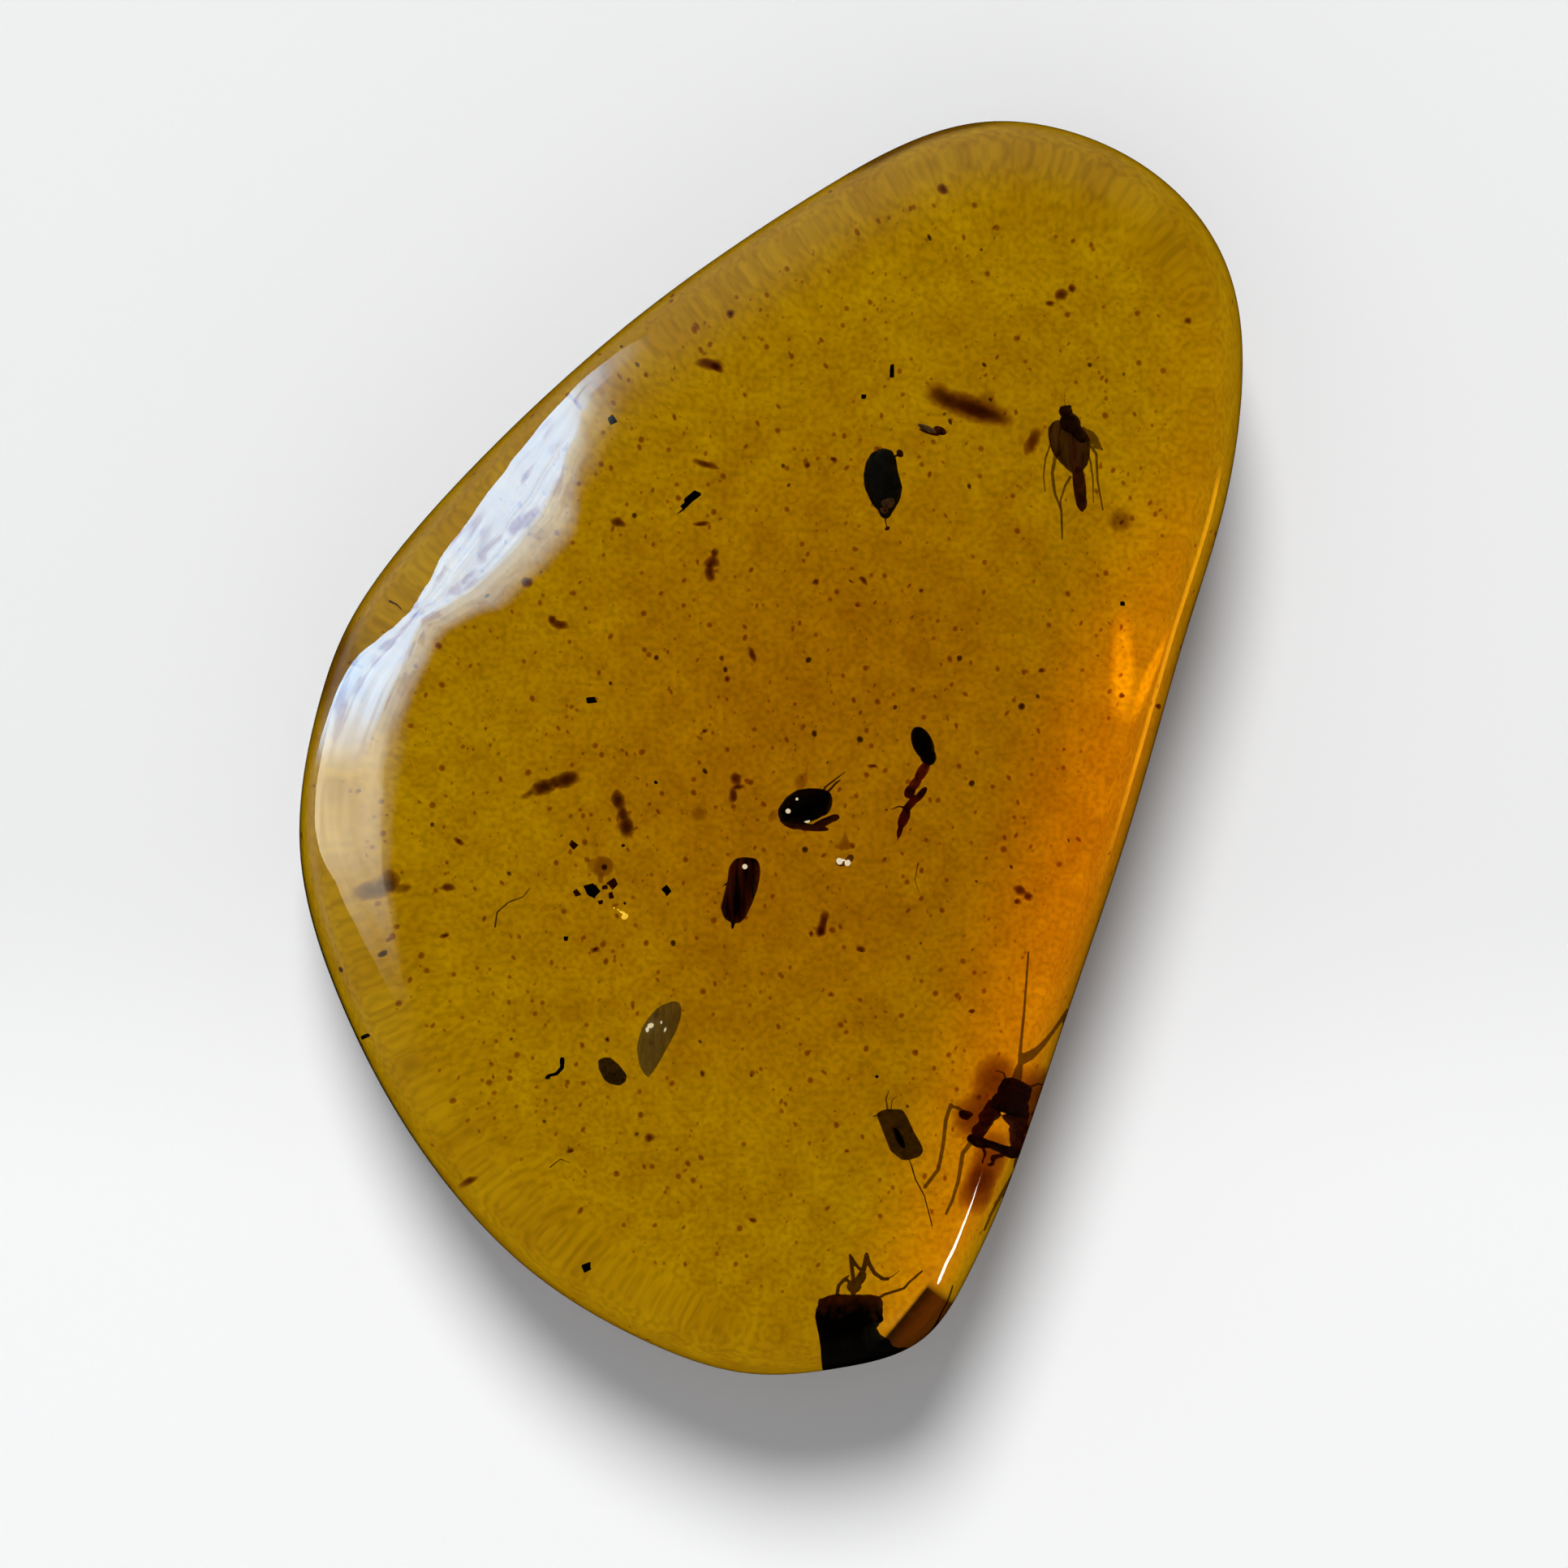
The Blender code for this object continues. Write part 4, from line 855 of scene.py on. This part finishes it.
# ---------------------------------------------------------------- dust and small bits
# Thousands of specks of bark dust and soil, and a few dozen larger crumbs and shreds, settled through
# the resin as it flowed.
def inside(x, y, share):
    """Whether a place in plan lies within this share of the way from the middle to the edge."""
    compass = np.arctan2(GIRDLE[:, 1], GIRDLE[:, 0])
    reach = np.interp(math.atan2(y, x), compass, np.hypot(*GIRDLE.T), period=TURN)
    return math.hypot(x, y) < share * reach


random.seed(11)
speck = stained_resin("bark dust", "B00000", 8000.0)
black_speck = stained_resin("soil dust", "600000", 16000.0)
for layer in range(6):
    bm = bmesh.new()
    made = 0
    while made < (520 if layer else 110):
        x, y = random.uniform(-11, 11), random.uniform(-15, 15)
        if not inside(x, y, 0.87):
            continue
        made += 1
        size = 0.030 + 0.075 * random.random() ** 3
        radii = (size * random.uniform(0.5, 1.0), size, size)
        height = 0.5 + 4.8 * ((layer + random.random()) / 6 if layer else random.random())
        blob(bm, (x, y, height), radii, heading=random.uniform(-50, 50), detail=1)
    inclusion(bm, f"dust_{layer + 1}", speck if layer else black_speck, (0, 0, 0), "soil")

BITS = (
    # x, y, height, length, width, heading of the length from +X
    (-1.36, 9.17, 4.0, 0.62, 0.26, -6), (-1.20, 9.08, 4.0, 0.30, 0.18, -30), (-1.50, 6.76, 4.6, 0.60, 0.15, -16),
    (-1.36, 4.38, 4.4, 0.34, 0.30, 20), (-1.42, 4.12, 4.4, 0.22, 0.42, 10), (-1.30, 4.60, 4.4, 0.16, 0.20, 0),
    (-0.78, -0.86, 4.6, 0.24, 0.30, 10), (-0.86, -1.26, 4.6, 0.20, 0.34, -8), (-0.74, -1.06, 4.6, 0.26, 0.12, 0),
    (-5.05, 2.88, 4.2, 0.40, 0.20, -14), (-5.25, 3.00, 4.2, 0.18, 0.16, 0), (-0.39, 2.15, 5.0, 0.38, 0.13, -68),
    (-3.65, 5.37, 3.6, 0.36, 0.22, -20), (-5.84, 3.89, 3.8, 0.26, 0.22, 10), (6.08, -3.56, 4.2, 0.34, 0.20, -20),
    (6.28, -3.72, 4.2, 0.22, 0.24, 20), (6.02, -3.84, 4.2, 0.16, 0.14, 0), (1.29, -4.36, 3.4, 0.20, 0.56, -14),
    (1.24, -4.60, 3.4, 0.22, 0.22, 0), (1.02, -4.62, 4.2, 0.12, 0.12, 0), (2.50, -0.56, 5.0, 0.26, 0.07, -14),
    (10.20, 10.30, 4.4, 0.14, 0.16, 0), (4.36, 13.40, 3.6, 0.26, 0.20, -20), (7.14, 10.96, 3.6, 0.34, 0.26, 30),
    (7.40, 11.14, 3.6, 0.16, 0.20, 0), (6.86, 10.74, 3.6, 0.18, 0.12, 0), (-0.82, 10.35, 4.2, 0.16, 0.20, 30),
    (-1.63, 5.32, 4.2, 0.40, 0.12, 0), (-7.80, -3.50, 4.0, 0.34, 0.18, 0), (-7.52, -2.38, 4.4, 0.24, 0.12, -30),
    (-7.86, -4.66, 4.4, 0.22, 0.10, 20), (-1.56, 0.30, 4.6, 0.16, 0.10, 30), (-1.14, 2.05, 4.8, 0.12, 0.12, 0),
    (1.16, 3.90, 4.6, 0.14, 0.14, 0), (2.30, 3.96, 4.4, 0.26, 0.10, -50), (3.70, 3.72, 4.6, 0.10, 0.10, 0),
    (0.96, 6.74, 4.2, 0.18, 0.12, 20), (1.60, 6.90, 4.2, 0.14, 0.08, -20), (6.60, 1.80, 4.0, 0.16, 0.12, 0),
    (-9.40, -7.10, 3.4, 0.18, 0.12, 30), (-6.92, -10.40, 3.6, 0.22, 0.14, 0), (4.90, -6.50, 4.6, 0.16, 0.10, 0),
    (-3.20, -9.50, 4.2, 0.10, 0.10, 0), (-1.60, -8.00, 4.6, 0.12, 0.14, 0), (2.20, -5.00, 4.8, 0.22, 0.12, -10),
    (8.60, 1.20, 3.6, 0.14, 0.12, 0), (-0.40, -11.60, 4.2, 0.20, 0.10, -30), (-4.80, -9.90, 4.4, 0.18, 0.10, 40),
    (-2.90, -9.60, 3.8, 0.26, 0.22, 20), (1.90, -9.90, 4.2, 0.08, 0.08, 0), (-4.20, -5.00, 4.8, 0.18, 0.12, 30),
)
soaked_bits = stained_resin("resin-soaked bits", "9C0000", 14000.0)
for first in range(3):
    bm = bmesh.new()
    for x, y, height, length, width, heading in BITS[first::3]:
        lump = blob(bm, (x, y, height), (0.62 * length, 0.62 * width, 0.10), heading=heading)
        feathered(bm, 0.10, height, lump)
    inclusion(bm, f"brown_bits_{first + 1}", soaked_bits, (0, 0, 0), "bark")
BLACK_BITS = (
    (-1.84, 5.96, 4.8, 0.44, 0.22, 42), (-2.00, 5.76, 4.8, 0.26, 0.12, 40), (-4.28, 1.04, 5.0, 0.26, 0.18, 10),
    (3.01, 9.03, 4.8, 0.11, 0.34, 0), (2.32, 8.38, 5.0, 0.14, 0.12, 0), (-3.74, 7.79, 4.6, 0.18, 0.18, 30),
    (-2.46, -3.56, 5.2, 0.18, 0.18, 40), (8.59, 3.44, 4.2, 0.13, 0.13, 0), (-4.28, -12.60, 4.0, 0.20, 0.20, 20),
    (-5.36, -8.10, 4.8, 0.12, 0.10, 0), (-4.90, -4.74, 5.0, 0.12, 0.12, 0),
    (-9.30, -6.90, 3.6, 0.16, 0.12, 30), (-2.72, -0.94, 4.8, 0.10, 0.10, 0), (2.60, -8.10, 4.6, 0.10, 0.08, 0),
)
bm = bmesh.new()
for x, y, height, length, width, heading in BLACK_BITS:
    crumb(bm, (x, y, height), (0.9 * length, 0.9 * width, 0.8 * min(length, width)), heading)
limb(bm, [(-5.00, -7.66, 4.8), (-5.00, -7.86, 4.8), (-5.14, -8.02, 4.8), (-5.34, -8.06, 4.8)], 0.13, tip=0.6)
limb(bm, [(-2.10, 5.62, 4.8), (-2.22, 5.54, 4.8)], 0.06)
inclusion(skinned(bm, 0.02, 5), "black_bits", soil, (0, 0, 0), "soil")
bm = bmesh.new()
limb(bm, [(-6.63, -4.45, 4.6), (-6.58, -4.10, 4.6), (-6.30, -3.85, 4.6), (-5.95, -3.72, 4.6), (-5.78, -3.50, 4.6)], 0.05)
limb(bm, [(-5.30, -10.30, 4.6), (-5.05, -10.10, 4.6), (-4.80, -10.20, 4.6)], 0.04)
limb(bm, [(3.60, -2.90, 4.8), (3.52, -3.30, 4.8), (3.62, -3.60, 4.8)], 0.035)
limb(bm, [(-9.00, 3.30, 4.0), (-8.86, 3.24, 4.0), (-8.76, 3.14, 4.0)], 0.06, tip=0.5)
inclusion(skinned(bm, 0.012, 1), "hairs", leg_shell, (0, 0, 0), "soil")
smear_stain = stained_resin("purple-brown smear", "8A1420", 4200.0)
for name, centre, radii, heading in (
    ("smear_left", (-9.46, -3.54, 3.0), (0.46, 0.26, 0.26), 10),
    ("smear_left_core", (-9.12, -3.34, 3.0), (0.24, 0.34, 0.24), 20),
    ("smear_left_spot", (-8.80, -3.52, 3.0), (0.18, 0.12, 0.16), 0),
    ("smear_right", (8.55, 5.50, 3.2), (0.36, 0.34, 0.14), 0),
):
    bm = bmesh.new()
    blob(bm, centre, radii, heading=heading, detail=5)
    inclusion(feathered(bm, radii[2], centre[2], ragged=0.07), name, smear_stain, (0, 0, 0), "bark")


# ---------------------------------------------------------------- table, light and camera
floor_material, tree = empty_material("matt pale table")
place = add(tree, "ShaderNodeTexCoord")
split = add(tree, "ShaderNodeSeparateXYZ", links={"Vector": place.outputs["Object"]})
# Painted light: the table's colour grows lighter towards the front, where the light is stronger.
painted_light_to_front = add(tree, "ShaderNodeMapRange", {"From Min": -2.0 * MM, "From Max": -12.0 * MM},
           {"Value": split.outputs["Y"]}, interpolation_type="SMOOTHSTEP")
tone = add(tree, "ShaderNodeMix", {6: linear("ECECEC"), 7: linear("F7F7F7")}, {0: painted_light_to_front.outputs["Result"]},
           data_type="RGBA")
shader = add(tree, "ShaderNodeBsdfPrincipled", {"Roughness": 0.9, "Specular IOR Level": 0.1},
             {"Base Color": tone.outputs[2]})
add(tree, "ShaderNodeOutputMaterial", links={"Surface": shader.outputs[0]})
bm = bmesh.new()
bmesh.ops.create_grid(bm, x_segments=4, y_segments=4, size=0.6)
bmesh.ops.translate(bm, verts=bm.verts, vec=(0, 0, -0.00002))
floor = piece_from(bm, "table", floor_material)
floor.visible_glossy = False

# Light gathered by the stone falls on the table under it: golden at the middle, orange and brightest
# along the straight right edge, with one bright streak.
sheet_material, tree = empty_material("gathered light")
place = add(tree, "ShaderNodeTexCoord")
EDGE_NORMAL = (0.955, -0.298, 0.0)
EDGE_DISTANCE = 8.65
towards_edge = add(tree, "ShaderNodeVectorMath", {1: EDGE_NORMAL}, {0: place.outputs["Object"]},
                   operation="DOT_PRODUCT")
edge_glow = add(tree, "ShaderNodeMapRange", {
    "From Min": (EDGE_DISTANCE - 3.6) * MM, "From Max": EDGE_DISTANCE * MM, "To Min": 0.0, "To Max": 0.55,
}, {"Value": towards_edge.outputs["Value"]}, interpolation_type="SMOOTHSTEP")
split = add(tree, "ShaderNodeSeparateXYZ", links={"Vector": place.outputs["Object"]})
lower_part = add(tree, "ShaderNodeMapRange", {
    "From Min": 9.0 * MM, "From Max": 1.0 * MM, "To Min": 0.15, "To Max": 1.0,
}, {"Value": split.outputs["Y"]}, interpolation_type="SMOOTHSTEP")
glow = add(tree, "ShaderNodeMath", links={0: edge_glow.outputs["Result"], 1: lower_part.outputs["Result"]},
           operation="MULTIPLY")
to_streak = add(tree, "ShaderNodeMapping", {
    "Location": (-8.7 / 0.45, -2.0 / 1.8, 0.0), "Scale": (1 / (0.45 * MM), 1 / (1.8 * MM), 0.0),
}, {"Vector": place.outputs["Object"]})
from_streak = add(tree, "ShaderNodeVectorMath", links={0: to_streak.outputs[0]}, operation="LENGTH")
streak = add(tree, "ShaderNodeMapRange", {"From Min": 1.0, "From Max": 0.0, "To Min": 0.0, "To Max": 0.9},
             {"Value": from_streak.outputs["Value"]}, interpolation_type="SMOOTHSTEP")
level = add(tree, "ShaderNodeMath", links={0: glow.outputs[0], 1: streak.outputs["Result"]})
tone = add(tree, "ShaderNodeValToRGB", links={"Fac": level.outputs[0]})
tone.color_ramp.elements[0].position, tone.color_ramp.elements[0].color = 0.0, linear("978303")
tone.color_ramp.elements[1].position, tone.color_ramp.elements[1].color = 1.0, linear("FDBC00")
middle = tone.color_ramp.elements.new(0.5)
middle.color = linear("C28B00")
heart = add(tree, "ShaderNodeVectorMath", {1: (2.5 * MM, -1.0 * MM, 0.0)}, {0: place.outputs["Object"]},
            operation="DISTANCE")
redder = add(tree, "ShaderNodeMapRange", {"From Min": 3.0 * MM, "From Max": 11.0 * MM, "To Min": 1.0, "To Max": 0.0},
             {"Value": heart.outputs["Value"]}, interpolation_type="SMOOTHSTEP")
warm = add(tree, "ShaderNodeMix", {7: (0.90, 0.70, 1.0, 1.0)}, {0: redder.outputs["Result"], 6: tone.outputs["Color"]},
           data_type="RGBA", blend_type="MULTIPLY")
clouds = add(tree, "ShaderNodeTexNoise", {"Scale": 1 / (0.9 * MM), "Detail": 5.0, "Roughness": 0.62, "Distortion": 0.3},
             {"Vector": place.outputs["Object"]})
mottle = add(tree, "ShaderNodeValToRGB", links={"Fac": clouds.outputs["Fac"]})
mottle.color_ramp.elements[0].position, mottle.color_ramp.elements[0].color = 0.32, (1.30, 1.34, 1.2, 1.0)
mottle.color_ramp.elements[1].position, mottle.color_ramp.elements[1].color = 0.66, (1.66, 1.92, 1.7, 1.0)
uneven = add(tree, "ShaderNodeMix", {0: 1.0}, {6: warm.outputs[2], 7: mottle.outputs["Color"]},
             data_type="RGBA", blend_type="MULTIPLY")
grit = add(tree, "ShaderNodeTexNoise", {"Scale": 1 / (0.14 * MM), "Detail": 2.0}, {"Vector": place.outputs["Object"]})
level = add(tree, "ShaderNodeMapRange", {"From Min": 0.35, "From Max": 0.6, "To Min": 0.80, "To Max": 1.10},
            {"Value": grit.outputs["Fac"]})
shader = add(tree, "ShaderNodeBsdfPrincipled", {
    "Base Color": linear("F0F0F0"), "Roughness": 0.9, "Specular IOR Level": 0.1,
}, {"Emission Color": uneven.outputs[2], "Emission Strength": level.outputs["Result"]})
add(tree, "ShaderNodeOutputMaterial", links={"Surface": shader.outputs[0]})
sheet_material.cycles.emission_sampling = "NONE"
bm = bmesh.new()
rim = [bm.verts.new((*(place_2d - normal * 0.35) * MM, -0.00001))
       for place_2d, normal in zip(GIRDLE[::6], GIRDLE_NORMAL[::6])]
bmesh.ops.contextual_create(bm, geom=rim)
sheet = piece_from(bm, "light_under_the_stone", sheet_material)
sheet.visible_glossy = False

# A white light tent. What the polished surface mirrors is dark straight above, round the lens, and low on
# the right; the table takes a soft light that is stronger from the front and the left.
world = bpy.data.worlds.new("light tent")
bpy.context.scene.world = world
world.use_nodes = True
world.node_tree.nodes.clear()
tree = world.node_tree
place = add(tree, "ShaderNodeTexCoord")
split = add(tree, "ShaderNodeSeparateXYZ", links={"Vector": place.outputs["Generated"]})
opening = add(tree, "ShaderNodeMapRange", {
    "From Min": math.cos(math.radians(46)), "From Max": math.cos(math.radians(22)), "To Min": 0.54, "To Max": 0.0,
}, {"Value": split.outputs["Z"]})


def facing(compass):
    """How far a direction points to this side: 1 straight at it, -1 straight away."""
    side = (math.cos(math.radians(compass)), math.sin(math.radians(compass)), 0.0)
    return add(tree, "ShaderNodeVectorMath", {1: side}, {0: place.outputs["Generated"]}, operation="DOT_PRODUCT")


upper_left = add(tree, "ShaderNodeMapRange", {"From Min": 0.1, "From Max": 0.9, "To Min": 0.03, "To Max": 0.70},
                 {"Value": facing(130).outputs["Value"]})
not_low = add(tree, "ShaderNodeMapRange", {"From Min": -0.75, "From Max": -0.25}, {"Value": split.outputs["Z"]})
tent = add(tree, "ShaderNodeMath", links={0: upper_left.outputs["Result"], 1: not_low.outputs["Result"]},
           operation="MULTIPLY")
mirrored = add(tree, "ShaderNodeMath", links={0: tent.outputs[0], 1: opening.outputs["Result"]}, operation="MULTIPLY")
low = add(tree, "ShaderNodeMapRange", {"From Min": 0.0, "From Max": -0.3}, {"Value": split.outputs["Z"]})
left = add(tree, "ShaderNodeMapRange", {"From Min": 0.78, "From Max": 0.95, "To Max": 0.34},
           {"Value": facing(172).outputs["Value"]})
table_edge = add(tree, "ShaderNodeMath", links={0: low.outputs["Result"], 1: left.outputs["Result"]},
                 operation="MULTIPLY")
glossy = add(tree, "ShaderNodeMath", links={0: mirrored.outputs[0], 1: table_edge.outputs[0]})
soft_light = add(tree, "ShaderNodeMapRange", {"From Min": -1.0, "From Max": 1.0, "To Min": 0.03, "To Max": 0.59},
                 {"Value": facing(-102).outputs["Value"]})
ray = add(tree, "ShaderNodeLightPath")
through = add(tree, "ShaderNodeMix", links={0: ray.outputs["Is Transmission Ray"], 2: soft_light.outputs["Result"],
                                            3: opening.outputs["Result"]})
power = add(tree, "ShaderNodeMix", links={0: ray.outputs["Is Glossy Ray"], 2: through.outputs[0],
                                          3: glossy.outputs[0]})
sky = add(tree, "ShaderNodeBackground", {"Color": (0.97, 0.985, 1.0, 1.0)}, {"Strength": power.outputs[0]})
add(tree, "ShaderNodeOutputWorld", links={"Surface": sky.outputs[0]})

key = bpy.data.objects.new("key", bpy.data.lights.new("key", "AREA"))
bpy.context.scene.collection.objects.link(key)
key.data.shape = "DISK"
key.data.size = 0.40
key.data.energy = 9.2
direction = Vector((-0.08, 0.67, 0.90)).normalized()
key.location = direction * 1.0
key.rotation_euler = direction.to_track_quat("Z", "Y").to_euler()
key.visible_glossy = False
key.visible_transmission = False

DOME_RADIUS = 0.5


def tent_card(name, stations, tones, strength, ends, streak=(3.0, 45.0), smudge=0.0):
    """
    A lit cloth on the dome. Each station has its compass angle, and its outer edge, middle and inner edge in
    degrees from straight above. The tones run from the outer edge to the inner one, and the light fades in and
    out along the cloth over the shares of its length that ends gives.
    """
    bm = bmesh.new()
    bm.loops.layers.uv.new("UVMap")
    bmesh.ops.create_grid(bm, x_segments=96, y_segments=16, size=0.5, calc_uvs=True)
    table = np.array(stations, dtype=float)
    for vertex in bm.verts:
        step = (vertex.co.x + 0.5) * (len(table) - 1)
        compass, *tilts = [float(np.interp(step, range(len(table)), row)) for row in table.T]
        turn, tilt = math.radians(compass), math.radians(np.interp(vertex.co.y + 0.5, (0.0, 0.5, 1.0), tilts))
        vertex.co = Vector((math.cos(turn) * math.sin(tilt), math.sin(turn) * math.sin(tilt), math.cos(tilt)))
        vertex.co *= DOME_RADIUS
    cloth, tree = empty_material(name)
    unwrapped = add(tree, "ShaderNodeTexCoord")
    split = add(tree, "ShaderNodeSeparateXYZ", links={"Vector": unwrapped.outputs["UV"]})
    across = add(tree, "ShaderNodeValToRGB", links={"Fac": split.outputs["Y"]})
    across.color_ramp.interpolation = "EASE"
    for number, (position, colour) in enumerate(tones):
        stop = across.color_ramp.elements[number] if number < 2 else across.color_ramp.elements.new(position)
        stop.position, stop.color = position, linear(colour)
    fade_in = add(tree, "ShaderNodeMapRange", {"From Min": 0.0, "From Max": ends[0]}, {"Value": split.outputs["X"]},
                  interpolation_type="SMOOTHSTEP")
    fade_out = add(tree, "ShaderNodeMapRange", {"From Min": 1.0, "From Max": 1.0 - ends[1], "To Max": strength},
                   {"Value": split.outputs["X"]}, interpolation_type="SMOOTHSTEP")
    faded = add(tree, "ShaderNodeMath", links={0: fade_in.outputs["Result"], 1: fade_out.outputs["Result"]},
                operation="MULTIPLY")
    stretch = add(tree, "ShaderNodeMapping", {"Scale": (*streak, 1.0)}, {"Vector": unwrapped.outputs["UV"]})
    streaks = add(tree, "ShaderNodeTexNoise", {"Scale": 1.0, "Detail": 3.0}, {"Vector": stretch.outputs[0]})
    uneven = add(tree, "ShaderNodeMapRange", {"From Min": 0.3, "From Max": 0.7, "To Min": 0.72, "To Max": 1.12},
                 {"Value": streaks.outputs["Fac"]})
    spread = add(tree, "ShaderNodeMapping", {"Scale": (14.0, 6.0, 1.0)}, {"Vector": unwrapped.outputs["UV"]})
    spots = add(tree, "ShaderNodeTexNoise", {"Scale": 1.0, "Detail": 2.0}, {"Vector": spread.outputs[0]})
    smudged = add(tree, "ShaderNodeMapRange", {"From Min": 0.52, "From Max": 0.64, "To Min": 0.0, "To Max": smudge},
                  {"Value": spots.outputs["Fac"]}, interpolation_type="SMOOTHSTEP")
    toned = add(tree, "ShaderNodeMix", {7: linear("A8B8D8")}, {0: smudged.outputs["Result"], 6: across.outputs["Color"]},
                data_type="RGBA", blend_type="MULTIPLY")
    power = add(tree, "ShaderNodeMath", links={0: faded.outputs[0], 1: uneven.outputs["Result"]},
                operation="MULTIPLY")
    glow = add(tree, "ShaderNodeEmission", links={"Color": toned.outputs[2], "Strength": power.outputs[0]})
    clear = add(tree, "ShaderNodeBsdfTransparent")
    sheer = add(tree, "ShaderNodeAddShader", links={0: glow.outputs[0], 1: clear.outputs[0]})
    add(tree, "ShaderNodeOutputMaterial", links={"Surface": sheer.outputs[0]})
    cloth.cycles.emission_sampling = "NONE"
    card = piece_from(bm, name, cloth)
    card.visible_camera = False
    card.visible_diffuse = False
    card.visible_shadow = False
    card.visible_transmission = False


tent_card("window_blind", [
    (125, 70, 62, 44), (128, 90, 66, 22), (130, 96, 64, 14), (131, 90, 48, 13), (132.5, 84, 36, 12),
    (135, 69, 31, 12), (138, 60, 29, 12), (141, 56, 29, 12.5), (143.5, 51, 31, 14), (145.5, 49, 36, 17),
    (148, 49, 40, 23), (151, 54, 39, 24), (155, 63, 37, 24), (160, 82, 38, 24), (165, 100, 40, 24),
    (169, 112, 42, 25), (173, 116, 44, 25),
], [(0.0, "B4DCFF"), (0.46, "B4DCFF"), (0.56, "A0B4BC"), (0.68, "8C9CA0"), (0.92, "000000")], 20.0, (0.26, 0.16),
          smudge=0.8)
tent_card("warm_wall", [
    (164, 94, 42, 25), (169, 97, 37, 24), (174, 100, 33, 24), (180, 98, 32, 24), (185, 88, 32, 24),
    (190, 68, 32, 26), (196, 58, 33, 27), (202, 50, 36, 31), (206, 45, 41, 37),
], [(0.0, "E8E4CC"), (0.52, "E8E4CC"), (0.72, "8A8468"), (1.0, "000000")], 7.8, (0.16, 0.60), streak=(3.0, 12.0))
tent_card("lamp_edge", [
    (-41, 21, 18, 15), (-39.4, 29, 22, 15), (-37.8, 35, 26, 16), (-36.4, 39, 30, 20), (-35.2, 41, 33, 26),
], [(0.0, "FFFFFF"), (0.9, "F4FFF8"), (1.0, "C0C8B0")], 24.0, (0.15, 0.15))
tent_card("low_sun", [(-19, 103, 92, 80), (-10, 103, 92, 79), (-2, 103, 92, 80)],
          [(0.0, "FFAD19"), (0.6, "FFAD19"), (1.0, "000000")], 6.5, (0.3, 0.3))
scene = bpy.context.scene
scene.view_settings.view_transform = "Standard"
camera = bpy.data.objects.new("camera", bpy.data.cameras.new("camera"))
scene.collection.objects.link(camera)
scene.camera = camera
camera.data.lens = 100
camera.data.sensor_width = 36
camera.data.clip_start = 0.001
camera.location = Vector((0.373, -0.988, GIRDLE_HEIGHT + 108.2)) * MM
